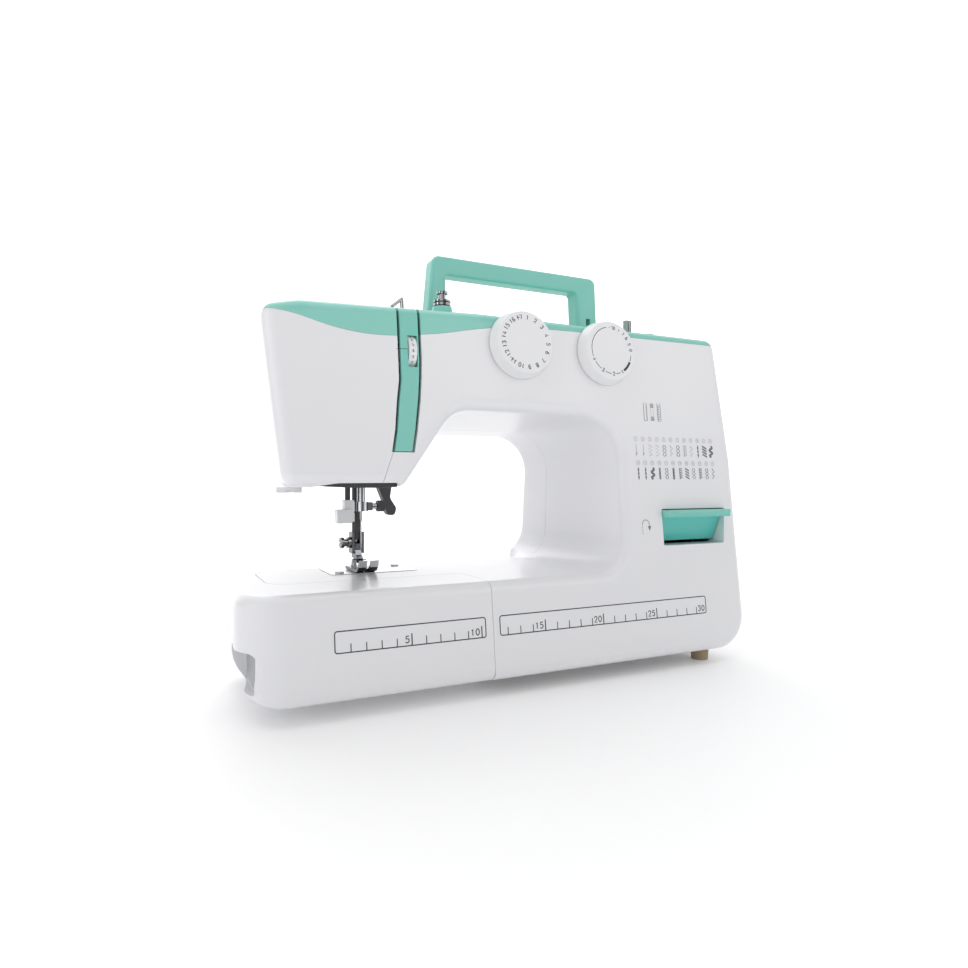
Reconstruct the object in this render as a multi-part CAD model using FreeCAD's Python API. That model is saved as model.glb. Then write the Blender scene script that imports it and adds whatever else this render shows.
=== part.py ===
import FreeCAD, Part
import os, math

# ---------------------------------------------------------------------------
# Household sewing machine with extension table, in millimetres.
# The design frame used below has X = 0 at the zero mark of the seam rule printed
# on the base, Y = 0 at the front face on the rule's bottom line and Z = 0 on that
# line.  +X is to the operator's right, +Y away from the operator, +Z up.
# place() moves every finished solid so that the row's origin lies at the centre
# of the bottom of the whole machine.
# ---------------------------------------------------------------------------
V = FreeCAD.Vector

# overall
FLOOR = -41.0            # table the machine stands on
BASE_Z = -31.0           # underside of the base
BED_Z = 36.5             # sewing surface
TOP_Z = 226.0            # top of the arm
SEAM_X = 109.0           # joint between extension table and machine
LEFT_X = -57.0           # left end of the extension table
RIGHT_X = 343.5          # right side of the pillar
DRAFT = 0.114            # lean of the front face, mm of Y per mm of Z
REAR_Y = 168.0           # rear face at Z = 0
REAR_DRAFT = 0.06
BED_REAR_Y = 141.0       # rear of the bed and of the table
WALL = 3.0               # moulded cover thickness
SPLIT_Y = 118.0          # front cover to rear cover parting plane
EDGE_R = 8.0             # rounding of the front edges
GAP = 0.3                # assembly gap between covers

# mechanism
SHAFT_Y, SHAFT_Z = 97.0, 178.0       # upper shaft axis (along X)
LOWER_Z = 6.0                        # lower shaft axis height
NEEDLE_X, NEEDLE_Y = 45.0, 97.0      # needle bar axis
PRESS_Y = 110.0                      # presser bar axis
NEEDLE_STROKE = 28.0
SHAFT_R = 5.0
RUN = 0.05                           # radial running clearance
HOOK_Y = 72.0

# controls
DIAL_Z = 204.0
DIAL1_X, DIAL2_X = 142.0, 217.0
DIAL_R0, DIAL_R1, DIAL_H = 25.0, 22.7, 10.0
HANDLE_Y, HANDLE_PIVOT_Z = 80.0, 234.6
WHEEL_X0, WHEEL_X1, WHEEL_R = 342.6, 372.5, 31.0
SPINDLE_X, SPINDLE_Y = 279.0, 75.0
SPOOL_X, SPOOL_Y = 318.0, 120.0

# origin shift, from the design frame to the row frame
OX, OY, OZ = 158.674, 83.398, -41.0

NODES = {}
BRACKETS = []            # inner sheet-metal brackets, one node


def add(name, shape):
    if shape.ShapeType != "Compound" or len(shape.Solids) == 1:
        shape = shape.removeSplitter()
    NODES[name] = shape


def box(x0, x1, y0, y1, z0, z1):
    return Part.makeBox(x1 - x0, y1 - y0, z1 - z0, V(x0, y0, z0))


def cyl(x, y, z, r, h, axis=(0, 0, 1)):
    return Part.makeCylinder(r, h, V(x, y, z), V(*axis))


def cone(x, y, z, r0, r1, h, axis=(0, 0, 1)):
    return Part.makeCone(r0, r1, h, V(x, y, z), V(*axis))


def fuse(*s):
    out = s[0]
    for k in s[1:]:
        out = out.fuse(k)
    return out


def cut(a, *s):
    for k in s:
        a = a.cut(k)
    return a


def prism_xz(pts, y0, y1):
    p = [V(x, y0, z) for x, z in pts]
    return Part.Face(Part.makePolygon(p + [p[0]])).extrude(V(0, y1 - y0, 0))


def prism_yz(pts, x0, x1):
    p = [V(x0, y, z) for y, z in pts]
    return Part.Face(Part.makePolygon(p + [p[0]])).extrude(V(x1 - x0, 0, 0))


def prism_xy(pts, z0, z1):
    p = [V(x, y, z0) for x, y in pts]
    return Part.Face(Part.makePolygon(p + [p[0]])).extrude(V(0, 0, z1 - z0))


def corner_pts(c):
    """tangent points and arc middles of a closed corner list [(a, b, r)]"""
    out = []
    n = len(c)
    for i in range(n):
        a0, b0, _ = c[i - 1]
        a, b, r = c[i]
        a1, b1, _ = c[(i + 1) % n]
        u = (a0 - a, b0 - b)
        w = (a1 - a, b1 - b)
        lu, lw = math.hypot(*u), math.hypot(*w)
        u = (u[0] / lu, u[1] / lu)
        w = (w[0] / lw, w[1] / lw)
        if r <= 0:
            out.append(((a, b), None, (a, b)))
            continue
        half = math.acos(max(-1.0, min(1.0, u[0] * w[0] + u[1] * w[1]))) / 2
        t = r / math.tan(half)
        bx, by = u[0] + w[0], u[1] + w[1]
        lb = math.hypot(bx, by)
        d = r / math.sin(half) - r
        out.append(((a + u[0] * t, b + u[1] * t), (a + bx / lb * d, b + by / lb * d), (a + w[0] * t, b + w[1] * t)))
    return out


def rounded_wire(c, at):
    """closed wire of lines and tangent arcs; at(a, b) places a point"""
    pts = corner_pts(c)
    seg = []
    n = len(pts)
    for i in range(n):
        s, m, e = pts[i]
        if m is not None:
            seg.append(Part.Arc(at(*s), at(*m), at(*e)).toShape())
        nxt = pts[(i + 1) % n][0]
        if math.hypot(nxt[0] - e[0], nxt[1] - e[1]) > 1e-6:
            seg.append(Part.makeLine(at(*e), at(*nxt)))
    return Part.Wire(seg)


def rprism_xy(c, z0, z1, lean=0.0):
    w = rounded_wire(c, lambda a, b: V(a, b + lean * z0, z0))
    return Part.Face(w).extrude(V(0, lean * (z1 - z0), z1 - z0))


def rprism_xz(c, y0, y1):
    w = rounded_wire(c, lambda a, b: V(a, y0, b))
    return Part.Face(w).extrude(V(0, y1 - y0, 0))


def rprism_yz(c, x0, x1):
    w = rounded_wire(c, lambda a, b: V(x0, a, b))
    return Part.Face(w).extrude(V(x1 - x0, 0, 0))


def inset(c, t):
    n = len(c)
    out = []
    for i in range(n):
        (x0, z0, _), (x, z, r), (x1, z1, _) = c[i - 1], c[i], c[(i + 1) % n]

        def off(ax, az, bx, bz):
            dx, dz = bx - ax, bz - az
            ln = math.hypot(dx, dz)
            return -dz / ln * t, dx / ln * t
        o1, o2 = off(x0, z0, x, z), off(x, z, x1, z1)
        d1, d2 = (x - x0, z - z0), (x1 - x, z1 - z)
        p1, p2 = (x0 + o1[0], z0 + o1[1]), (x + o2[0], z + o2[1])
        den = d1[0] * d2[1] - d1[1] * d2[0]
        s = ((p2[0] - p1[0]) * d2[1] - (p2[1] - p1[1]) * d2[0]) / den
        rr = 0 if r == 0 else (r - t if den > 0 else r + t)
        out.append((p1[0] + s * d1[0], p1[1] + s * d1[1], max(rr, 0.8) if r else 0))
    return out


def ffillet(shape, edges, radii):
    """fillet with the first radius that works"""
    for r in radii:
        try:
            q = shape.makeFillet(r, edges)
            if q.isValid() and q.Volume > 0:
                return q
        except Exception:
            pass
    print("fillet failed on", len(edges), "edges")
    return shape


def samples(e, n=4):
    a, b = e.FirstParameter, e.LastParameter
    return [e.valueAt(a + (b - a) * k / n) for k in range(n + 1)]


def edges_where(shape, test):
    return [e for e in shape.Edges if all(test(p) for p in samples(e))]


def front_y(z):
    return DRAFT * z


# ---------------------------------------------------------------------------
# Machine body: C-shaped, lofted from a front outline to a slightly smaller rear
# outline, cut by the leaning front and rear planes.
# ---------------------------------------------------------------------------
FRONT = [(SEAM_X, BASE_Z, 0), (RIGHT_X, BASE_Z, 28), (RIGHT_X, 122, 150), (335.5, TOP_Z, 9.5), (112, TOP_Z, 220),
         (-20, 221.5, 60), (-43.6, 216, 9.5), (-30.5, 101.5, 9.5), (50, 101.5, 9), (91, 157.8, 28), (228.5, 157.8, 34),
         (226, BED_Z, 27), (SEAM_X, BED_Z, 0)]
REAR = [(SEAM_X, BASE_Z, 0), (341, BASE_Z, 28), (341, 122, 150), (333.5, 225, 9.5), (112, 225, 220),
        (-5, 220.5, 60), (-27, 215, 9.5), (-16, 101.5, 9.5), (52, 101.5, 9), (83, 143.5, 24), (221, 143.5, 34),
        (219, BED_Z, 27), (SEAM_X, BED_Z, 0)]


def front_half(off):
    p = [V(-150, -200, -200), V(-150, -200 * DRAFT + off, -200), V(-150, 400 * DRAFT + off, 400), V(-150, -200, 400)]
    return Part.Face(Part.makePolygon(p + [p[0]])).extrude(V(600, 0, 0))


def rear_half(off):
    p = [V(-150, 400, -200), V(-150, REAR_Y + REAR_DRAFT * 200 - off, -200), V(-150, REAR_Y - REAR_DRAFT * 400 - off, 400), V(-150, 400, 400)]
    return Part.Face(Part.makePolygon(p + [p[0]])).extrude(V(600, 0, 0))


def body(t):
    fr, rr = (FRONT, REAR) if t == 0 else (inset(FRONT, t), inset(REAR, t))
    s = Part.makeLoft([rounded_wire(fr, lambda a, b: V(a, -10.0, b)), rounded_wire(rr, lambda a, b: V(a, 180.0, b))], True, True)
    s = s.cut(front_half(t)).cut(rear_half(t))
    # the bed is shallower than the pillar
    bc = [(90, BED_REAR_Y - t, 0), (208 + t, BED_REAR_Y - t, 14), (208 + t, 220, 0), (90, 220, 0)]
    s = s.cut(rprism_xy(bc, -60, 92))
    return s


def solid(s):
    return s.Solids[0] if s.ShapeType != "Solid" and len(s.Solids) == 1 else s


outer = solid(body(0))
on_front = edges_where(outer, lambda p: abs(p.y - front_y(p.z)) < 0.05)
on_front = [e for e in on_front if not all(abs(p.x - SEAM_X) < 0.05 for p in samples(e))]
outer = ffillet(outer, on_front, (EDGE_R, 7, 6, 5))
on_rear = edges_where(outer, lambda p: abs(p.y - (REAR_Y - REAR_DRAFT * p.z)) < 0.05)
outer = ffillet(outer, on_rear, (8, 6.5, 5))
outer = ffillet(outer, edges_where(outer, lambda p: abs(p.y - BED_REAR_Y) < 0.05 and abs(p.z - BED_Z) < 0.05), (7, 5))
inner = solid(body(WALL))
shell = outer.cut(inner)
# the seam end of the bed is open inside, towards the free arm
shell = shell.cut(box(SEAM_X - 5, SEAM_X + 4, 57, 125, -17, 33.4))

# openings in the moulded shell ------------------------------------------------
# head underside
shell = shell.cut(rprism_xy([(-17, 20, 5), (49.4, 20, 4), (49.4, 134, 4), (-8, 134, 5)], 98, 108))
# raised arch along the lower front edge of the head
arch = rprism_xz([(-14, 90, 0), (48, 90, 0), (48, 104.2, 3), (6, 104.0, 40), (-14, 101.0, 0)], -20, 24)
shell = shell.cut(arch)
# base plate opening
shell = shell.cut(prism_xy([(115, 6), (311, 6), (311, 158), (218, 158), (218, 134), (115, 134)], -40, -27.9))
# handwheel shaft hole in the right wall
shell = shell.cut(cyl(320, SHAFT_Y, SHAFT_Z, 8.0, 40, (1, 0, 0)))
# presser lifter slot in the slanted wall, at the rear
shell = shell.cut(box(50, 84, 121.2, 131.0, 100, 133)).cut(box(56, 84, 118.0, 121.3, 117.5, 130.5))

# parting lines ------------------------------------------------------------------
XL = [(49, 235), (49, 173), (47, 159), (45, 139), (42.3, 124.3), (40, 119), (37, 111), (33.6, 100), (33.2, 96)]
XR = [(64, 235), (64, 187), (63.3, 174), (62, 160), (59, 139), (56.2, 124.3)]


def side_region(line, dx, far, y0, y1):
    """region between a polyline in XZ, shifted by dx, and x = far"""
    pts = [(x + dx, z) for x, z in line]
    return prism_xz(pts + [(far, line[-1][1]), (far, line[0][1])], y0, y1)


# green boundary of the top cover
BOUND = [(-60, 213.5), (-43.6, 213.3), (-37, 213), (-28, 212.2), (-16, 210.2), (-4, 207), (9, 204.2), (22, 202.6), (36, 202.2), (49, 203),
         (64, 205), (79, 207.2), (102, 212), (120, 215.2), (150, 217.8), (175, 218.9), (200, 219.3), (246, 219.6), (334, 220.3), (352, 220.4)]


def above(dz):
    c = Part.BSplineCurve()
    c.interpolate([V(x, -20, z + dz) for x, z in BOUND])
    e = [c.toShape(), Part.makeLine(V(352, -20, 220.4 + dz), V(352, -20, 260)), Part.makeLine(V(352, -20, 260), V(-60, -20, 260)),
         Part.makeLine(V(-60, -20, 260), V(-60, -20, 213.5 + dz))]
    return Part.Face(Part.Wire(e)).extrude(V(0, 230, 0))


band_y = 49.0
slot_l = side_region([p for p in XL if p[1] >= 124], -1.0, -1, -10, band_y)
# thread channel: everything between the two slots' outer edges
chan = prism_xz([(x - 1.0, z) for x, z in XL if z >= 124] + [(x + 1.0, z) for x, z in reversed(XR)], -10, band_y)
band_reg = prism_xz([(x + 1.0, z) for x, z in XL if z >= 124] + [(x - 1.0, z) for x, z in reversed(XR)], -10, band_y - 0.6)
band_reg = band_reg.cut(box(0, 100, -20, 60, 90, 124.9))

top_reg = above(0.0)
below_top = above(-GAP * 0.5)
top_cover = shell.common(top_reg).cut(chan)
lower = shell.cut(below_top)
face_reg = side_region(XL, -1.0, -80, -10, SPLIT_Y - GAP).fuse(side_region([p for p in XL if p[1] < 125], 0.0, -80, -10, SPLIT_Y - GAP))
face_reg = face_reg.cut(box(-90, 60, -20, 300, 40, 96.5))
face_cover = lower.common(face_reg).cut(chan)
seam = side_region([p for p in XL if p[1] < 125], GAP, -80, -10, SPLIT_Y)
rear_cover = lower.common(box(-100, 400, SPLIT_Y, 220, -60, 240))
front_cover = lower.common(box(-100, 400, -20, SPLIT_Y - GAP, -60, 240)).cut(chan).cut(side_region([p for p in XL if p[1] >= 124], 0, -80, -10, SPLIT_Y)).cut(seam)
band = shell.common(band_reg)
# window for the tension dial
TEN_X0, TEN_X1, TEN_Z, TEN_Y = 55.8, 61.6, 193.0, 32.0
band = band.cut(box(TEN_X0 - 0.5, TEN_X1 + 0.4, 0, 45, TEN_Z - 10.8, TEN_Z + 10.8))

# ---------------------------------------------------------------------------
# Dials on the leaning front face
# ---------------------------------------------------------------------------
tilt = math.degrees(math.atan(DRAFT))
NV = V(0, -math.cos(math.radians(tilt)), math.sin(math.radians(tilt)))     # outward normal of the front face


def on_face(x, z, d=0.0):
    return V(x, front_y(z), z) + NV * d


def dial(x):
    p = on_face(x, DIAL_Z, 0.6)
    k = Part.makeCone(DIAL_R0, DIAL_R1, DIAL_H - 0.6, p, NV)
    k = ffillet(k, [e for e in k.Edges if abs(e.Length - 2 * math.pi * DIAL_R1) < 0.5], (1.4, 1.0))
    k = k.cut(Part.makeCylinder(DIAL_R0 - 5.0, 5.0, p - NV * 0.2, NV))
    boss = Part.makeCylinder(8.0, 7.0, p - NV * 0.0, NV)
    return k.fuse(boss).cut(Part.makeCylinder(3.0, 5.6, p - NV * 0.2, NV))


def dial_shaft(x, back):
    return Part.makeCylinder(2.95, 5.3 + back, on_face(x, DIAL_Z, 0.6 - back), NV)


for x, nm in ((DIAL1_X, "pattern"), (DIAL2_X, "stitch_length")):
    front_cover = front_cover.cut(Part.makeCylinder(4.0, 12, on_face(x, DIAL_Z, -8), NV))
    add(nm + "_dial", dial(x))
# pattern dial turns a stack of cams; the length dial turns a regulator cam
ps = dial_shaft(DIAL1_X, 40)
cams = None
for k in range(4):
    c = Part.makeCylinder(12.5 - 0.8 * (k % 2), 3.6, on_face(DIAL1_X, DIAL_Z, -22 - 4 * k), NV).cut(Part.makeCylinder(2.96, 20, on_face(DIAL1_X, DIAL_Z, -40), NV))
    cams = c if cams is None else cams.fuse(c)
tub = Part.makeCylinder(6.0, 16, on_face(DIAL1_X, DIAL_Z, -34.4), NV).cut(Part.makeCylinder(2.96, 40, on_face(DIAL1_X, DIAL_Z, -50), NV))
add("pattern_cam_shaft", cams.fuse(tub).fuse(Part.makeCylinder(3.2, 14.0, on_face(DIAL1_X, DIAL_Z, -34.3), NV)).fuse(ps))
add("stitch_length_cam_shaft", dial_shaft(DIAL2_X, 28).fuse(Part.makeCylinder(11, 5, on_face(DIAL2_X + 2.5, DIAL_Z, -26), NV)))
# bracket that carries both dial shafts
br = box(DIAL1_X - 12, DIAL2_X + 12, 0, 2.5, 190, 217)
br = br.cut(cyl(DIAL1_X, -5, DIAL_Z, 3.0, 12, (0, 1, 0))).cut(cyl(DIAL2_X, -5, DIAL_Z, 3.0, 12, (0, 1, 0)))
br.rotate(V(0, 0, DIAL_Z), V(1, 0, 0), -tilt)
br.translate(V(0, front_y(DIAL_Z) + 12.0 - 0, 0) + NV * 0)
# align bracket holes with the leaning shaft axes
sh = (NV * (-12.0)) - V(0, 12.0, 0)
br.translate(V(0, sh.y, sh.z))
BRACKETS.append(br)

# ---------------------------------------------------------------------------
# Reverse lever and its recess in the front cover
# ---------------------------------------------------------------------------
RX0, RX1, RZ0, RZ1 = 262.3, 328.6, 54.6, 83.2
rec_o = rprism_xz([(RX0 - 2, RZ0 - 2, 2), (RX1 + 2, RZ0 - 2, 2), (RX1 + 2, RZ1 + 2, 2), (RX0 - 2, RZ1 + 2, 2)], 5, 24)
rec_i = rprism_xz([(RX0, RZ0, 1.2), (RX1 - 3.4, RZ0, 1.2), (RX1, RZ1, 1.2), (RX0, RZ1, 1.2)], -20, 40)
rec_o = rec_o.cut(front_half(1.0))
front_cover = front_cover.fuse(rec_o).cut(rec_i)
lv = prism_yz([(0.8, 76.6), (0.8, 80.6), (2.4, 82.4), (25, 82.4), (25, 57.4), (18.4, 57.4), (12.8, 76.6)], RX0 + 0.6, RX1 - 0.6)
lv = lv.common(rprism_xz([(RX0 + 0.6, RZ0 + 0.6, 1.0), (RX1 - 4.0, RZ0 + 0.6, 1.0), (RX1 - 0.6, RZ1 - 0.5, 1.0), (RX0 + 0.6, RZ1 - 0.5, 1.0)], -20, 60))
lv = ffillet(lv, [e for e in lv.Edges if all(abs(p.y - 0.8) < 0.01 for p in samples(e))], (0.8, 0.5))
REV_Y, REV_Z = 33.0, 70.0
lv = lv.cut(box(RX0 + 3, RX1 - 6, 16.5, 40, 59, 79.5).cut(prism_yz([(10, 79.5), (16.6, 79.5), (22.6, 58), (10, 58)], 200, 400)))
arm = prism_yz([(16.5, 74), (REV_Y + 4.5, 74), (REV_Y + 4.5, 66), (18, 66)], RX0 + 8, RX0 + 12).fuse(
    prism_yz([(16.5, 74), (REV_Y + 4.5, 74), (REV_Y + 4.5, 66), (18, 66)], RX1 - 17, RX1 - 13))
add("reverse_lever", lv.fuse(arm).cut(cyl(RX0, REV_Y, REV_Z, 2.0 + RUN, 80, (1, 0, 0))))
PINS = [cyl(RX0 + 3.8, REV_Y, REV_Z, 2.0, RX1 - RX0 - 11, (1, 0, 0))]
rb = box(RX0 + 3.8, RX0 + 7.2, 28.5, 43, 62, 78).fuse(box(RX1 - 11, RX1 - 7.2, 28.5, 43, 62, 78)).fuse(box(RX0 + 3.8, RX1 - 7.2, 42, 45, 56, 84))
rb = rb.cut(cyl(RX0, REV_Y, REV_Z, 2.0, 80, (1, 0, 0)))
BRACKETS.append(rb)

# ---------------------------------------------------------------------------
# Extension table and free arm
# ---------------------------------------------------------------------------
TX1 = SEAM_X - GAP


def table_block(t, zt, zb):
    c = [(LEFT_X + t, 0 + t, 28 - t), (TX1 + (1 if t else 0), 0 + t, 0), (TX1 + (1 if t else 0), BED_REAR_Y - t, 0), (LEFT_X + 9 + t, BED_REAR_Y - t, 20 - t)]
    return rprism_xy(c, zb, zt, DRAFT)


tb = table_block(0, BED_Z, BASE_Z)
tb = tb.cut(box(-100, 200, BED_REAR_Y, 200, -60, 60))
# square rear face: take back the lean there
top_e = [e for e in tb.Edges if all(abs(p.z - BED_Z) < 0.02 for p in samples(e)) and not all(abs(p.x - TX1) < 0.02 for p in samples(e))]
bot_e = [e for e in tb.Edges if all(abs(p.z - BASE_Z) < 0.02 for p in samples(e)) and not all(abs(p.x - TX1) < 0.02 for p in samples(e))]
try:
    q = tb.makeFillet(EDGE_R, top_e)
    if q.isValid():
        tb = q
except Exception as ex:
    print("table top fillet", ex)
bot_e = [e for e in tb.Edges if all(abs(p.z - BASE_Z) < 0.02 for p in samples(e)) and not all(abs(p.x - TX1) < 0.02 for p in samples(e))]


def graded(shape, zb, rf, rl, rr, x_end):
    """bottom edge rounding: rf along the front and rear, growing to rl on the left end; rr at the rear corner"""
    doc = FreeCAD.newDocument("g")
    base = doc.addObject("Part::Feature", "b")
    base.Shape = shape
    fl = doc.addObject("Part::Fillet", "f")
    fl.Base = base
    todo = []
    for i, e in enumerate(shape.Edges):
        sp = samples(e)
        if not all(abs(p.z - zb) < 0.02 for p in sp) or all(abs(p.x - x_end) < 0.02 for p in sp):
            continue
        a, b = sp[0], sp[-1]

        def rad(p):
            if p.x > x_end - 1 or p.x > LEFT_X + 31:
                return rf
            if p.y < 30:
                return rf if p.x > LEFT_X + 20 else rl
            return rf if p.x > LEFT_X + 24 else rr
        r1, r2 = rad(a), rad(b)
        if e.Orientation == "Reversed":
            pass
        todo.append((i + 1, r1, r2))
    fl.Edges = todo
    doc.recompute()
    out = fl.Shape.copy()
    ok = out.isValid() and out.Volume > 1000 and fl.isValid()
    FreeCAD.closeDocument(doc.Name)
    print("graded fillet", ok, todo)
    return out if ok else None


q = graded(tb, BASE_Z, 9.0, 25.0, 17.0, TX1)
tb = q if q is not None else ffillet(tb, bot_e, (10, 8))
tin = table_block(2.6, BED_Z - 2.6, BASE_Z + 2.6)
tin = tin.cut(box(-100, 200, BED_REAR_Y - 2.6, 200, -60, 60))
bot_i = [e for e in tin.Edges if all(abs(p.z - (BASE_Z + 2.6)) < 0.02 for p in samples(e))]
q = graded(tin, BASE_Z + 2.6, 6.4, 22.4, 14.4, TX1 + 1)
tin = q if q is not None else ffillet(tin, [e for e in bot_i if not all(abs(p.x - (TX1 + 1)) < 0.02 for p in samples(e))], (8, 6))
FA_Y0, FA_Y1, FA_X0, FA_Z0 = 54.0, 127.0, -30.0, -20.0
pocket = rprism_xy([(FA_X0 - 0.5, FA_Y0 - 0.5, 16.5), (150, FA_Y0 - 0.5, 0), (150, FA_Y1 + 0.5, 0), (FA_X0 - 0.5, FA_Y1 + 0.5, 16.5)], BASE_Z + 2.6, 60)
table = tb.cut(tin).cut(pocket)
# finger recess low on the left end
cup_o = rprism_yz([(4, -24, 4), (54, -24, 4), (54, 5, 6), (4, 5, 6)], LEFT_X + 2.7, LEFT_X + 14.6)
cup_i = rprism_yz([(6, -22, 4), (52, -22, 4), (52, 3, 6), (6, 3, 6)], -80, LEFT_X + 12.6)
table = table.fuse(cup_o.common(tb)).cut(cup_i)
add("extension_table", table)

fa = rprism_xy([(FA_X0, FA_Y0, 16), (SEAM_X - 0.01, FA_Y0, 0), (SEAM_X - 0.01, FA_Y1, 0), (FA_X0, FA_Y1, 16)], FA_Z0, BED_Z)
fa = ffillet(fa, [e for e in fa.Edges if all(abs(p.z - FA_Z0) < 0.02 for p in samples(e)) and not all(abs(p.x - (SEAM_X - 0.01)) < 0.02 for p in samples(e))], (9, 6))
fi = rprism_xy([(FA_X0 + 2.5, FA_Y0 + 2.5, 13.5), (SEAM_X + 3, FA_Y0 + 2.5, 0), (SEAM_X + 3, FA_Y1 - 2.5, 0), (FA_X0 + 2.5, FA_Y1 - 2.5, 13.5)], FA_Z0 + 2.5, BED_Z - 2.5)
fi = ffillet(fi, [e for e in fi.Edges if all(abs(p.z - (FA_Z0 + 2.5)) < 0.02 for p in samples(e)) and not all(abs(p.x - (SEAM_X + 3)) < 0.02 for p in samples(e))], (6.5, 4))
fa = fa.cut(fi)
# opening for the needle plate and for the shuttle door
PX0, PX1, PY0, PY1 = 19.0, 86.5, 91.0 - 5.0, 124.3
PY0 = 84.0
fa = fa.cut(rprism_xy([(PX0, PY0, 3), (PX1, PY0, 3), (PX1, PY1, 3), (PX0, PY1, 3)], BED_Z - 1.3, 60))
fa = fa.cut(box(PX0 + 5, PX1 - 5, PY0 + 3, PY1 - 3, 30, 60))
fa = fa.cut(box(NEEDLE_X - 8, NEEDLE_X + 8, PY0 + 1.6, PY0 + 4, 30, 60))      # room for the feed dog's stroke
DX0, DX1, DZ0, DZ1 = 16.0, 74.0, -10.5, 27.0
fa = fa.cut(box(DX0, DX1, 50, FA_Y0 + 6, DZ0 - 1.0, DZ1))
add("free_arm_cover", fa)
# needle plate, 1.6 thick, standing 0.4 proud of the bed
npz0, npz1 = BED_Z - 1.25, BED_Z + 0.4
pl = rprism_xy([(PX0 + 0.25, PY0 + 0.25, 3), (PX1 - 0.25, PY0 + 0.25, 3), (PX1 - 0.25, PY1 - 0.25, 3), (PX0 + 0.25, PY1 - 0.25, 3)], npz0, npz1)
pl = pl.cut(rprism_xy([(NEEDLE_X - 4, NEEDLE_Y - 1.1, 1.0), (NEEDLE_X + 4, NEEDLE_Y - 1.1, 1.0), (NEEDLE_X + 4, NEEDLE_Y + 1.1, 1.0), (NEEDLE_X - 4, NEEDLE_Y + 1.1, 1.0)], 0, 60))
FEED = [(-7.4, -12, 9), (4.8, -12, 9)]
for x0, y0, y1 in ((-7.6, -11.5, 12.5), (4.6, -11.5, 12.5)):
    pl = pl.cut(box(NEEDLE_X + x0, NEEDLE_X + x0 + 3.0, NEEDLE_Y + y0, NEEDLE_Y + y1, 0, 60))
pl = pl.cut(cyl(PX0 + 8, PY0 + 8, 30, 1.7, 20)).cut(cyl(PX1 - 8, PY1 - 8, 30, 1.7, 20))
add("needle_plate", pl)
nps = None
for x, y in ((PX0 + 8, PY0 + 8), (PX1 - 8, PY1 - 8)):
    s = cyl(x, y, npz1 + 0.0, 3.2, 0.9).cut(box(x - 4, x + 4, y - 0.5, y + 0.5, npz1 + 0.4, 60)).fuse(cyl(x, y, BED_Z - 9, 1.6, 9 + 0.5))
    nps = s if nps is None else nps.fuse(s)
# screw bosses of the free arm under the plate
SCREWS = [nps]

# shuttle door on the front of the free arm, hinged at its lower edge
dr = rprism_xz([(DX0 + 0.4, DZ0 + 0.4, 2), (DX1 - 0.4, DZ0 + 0.4, 2), (DX1 - 0.4, DZ1 - 0.4, 2), (DX0 + 0.4, DZ1 - 0.4, 2)], FA_Y0, FA_Y0 + 2.2)
dr = dr.fuse(cyl(DX0 + 1.2, FA_Y0 + 2.0, DZ0 + 2.2, 1.7, DX1 - DX0 - 2.4, (1, 0, 0))).cut(cyl(DX0 - 5, FA_Y0 + 2.0, DZ0 + 2.2, 0.8 + RUN, 80, (1, 0, 0)))
dr = dr.fuse(rprism_xz([(35, 20.5, 1), (55, 20.5, 1), (55, 23, 1), (35, 23, 1)], FA_Y0 - 1.2, FA_Y0 + 0.2))
add("shuttle_door", dr)
PINS.append(cyl(DX0 - 2.4, FA_Y0 + 2.0, DZ0 + 2.2, 0.8, DX1 - DX0 + 4.8, (1, 0, 0)))
NODES["free_arm_cover"] = NODES["free_arm_cover"].cut(cyl(DX0 - 2.4, FA_Y0 + 2.0, DZ0 + 2.2, 0.8, DX1 - DX0 + 4.8, (1, 0, 0)))

# ---------------------------------------------------------------------------
# Machine frame (casting) with bearing walls
# ---------------------------------------------------------------------------
FY0, FY1 = 116.5, 126.0
fr = box(-4, 300, FY0, FY1, 158, 200)                       # arm web
fr = fr.fuse(box(-4, 60, FY0, FY1, 122, 200))               # head web
fr = fr.fuse(box(232, 300, FY0, FY1, -6, 200))              # pillar web
fr = fr.fuse(box(112, 300, FY0, FY1 - 1, -12, 26)).fuse(box(-12, 113, FY0 - 0, 124.0, -12, 26))   # bed and free arm web
fr = fr.fuse(box(66, 76, 82, FY0 + 1, 158, 200)).fuse(box(288, 300, 82, FY0 + 1, 158, 200))        # bearing walls, upper
fr = fr.fuse(box(118, 126, 82, FY0 + 1, -12, 26)).fuse(box(288, 300, 84, FY0 + 1, -12, 26))        # bearing walls, lower
fr = fr.fuse(box(28, 51.5, 88, FY0 + 1, 112, 121)).fuse(box(28, 58, 88, FY0 + 1, 201, 207)).fuse(box(28, 58, 108, FY0 + 1, 196, 207)).fuse(box(28, 51.5, 112, FY0 + 1, 110, 130))   # needle bar brackets
fr = fr.fuse(box(28, 34, 80, FY0 + 1, 160, 170))            # take-up pivot arm
fr = fr.fuse(box(240, 300, 90, FY0 + 1, -26, -11)).fuse(box(118, 150, 90, FY0 + 1, -26, -11))                      # feet down to the base plate
fr = fr.cut(box(100, 225, 110, 130, 166, 190)).cut(box(240, 280, 110, 130, 40, 150))             # lightening windows
fr = fr.cut(cyl(50, SHAFT_Y, SHAFT_Z, 8.0, 300, (1, 0, 0)))
fr = fr.cut(cyl(110, SHAFT_Y, LOWER_Z, 7.0, 300, (1, 0, 0)))
fr = fr.cut(cyl(NEEDLE_X, NEEDLE_Y, 100, 5.5, 120)).cut(cyl(NEEDLE_X, PRESS_Y, 60, 5.0, 160))
fr = fr.cut(cyl(34.5, NEEDLE_Y, 100, 2.0 + RUN, 30))
fr = fr.cut(cyl(NEEDLE_X, 100, LOWER_Z, 4.0 + RUN, 40, (0, 1, 0)))
fr = fr.cut(cyl(60, 100, 124, 3.0, 40, (0, 1, 0)))
add("machine_frame", fr)

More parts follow.
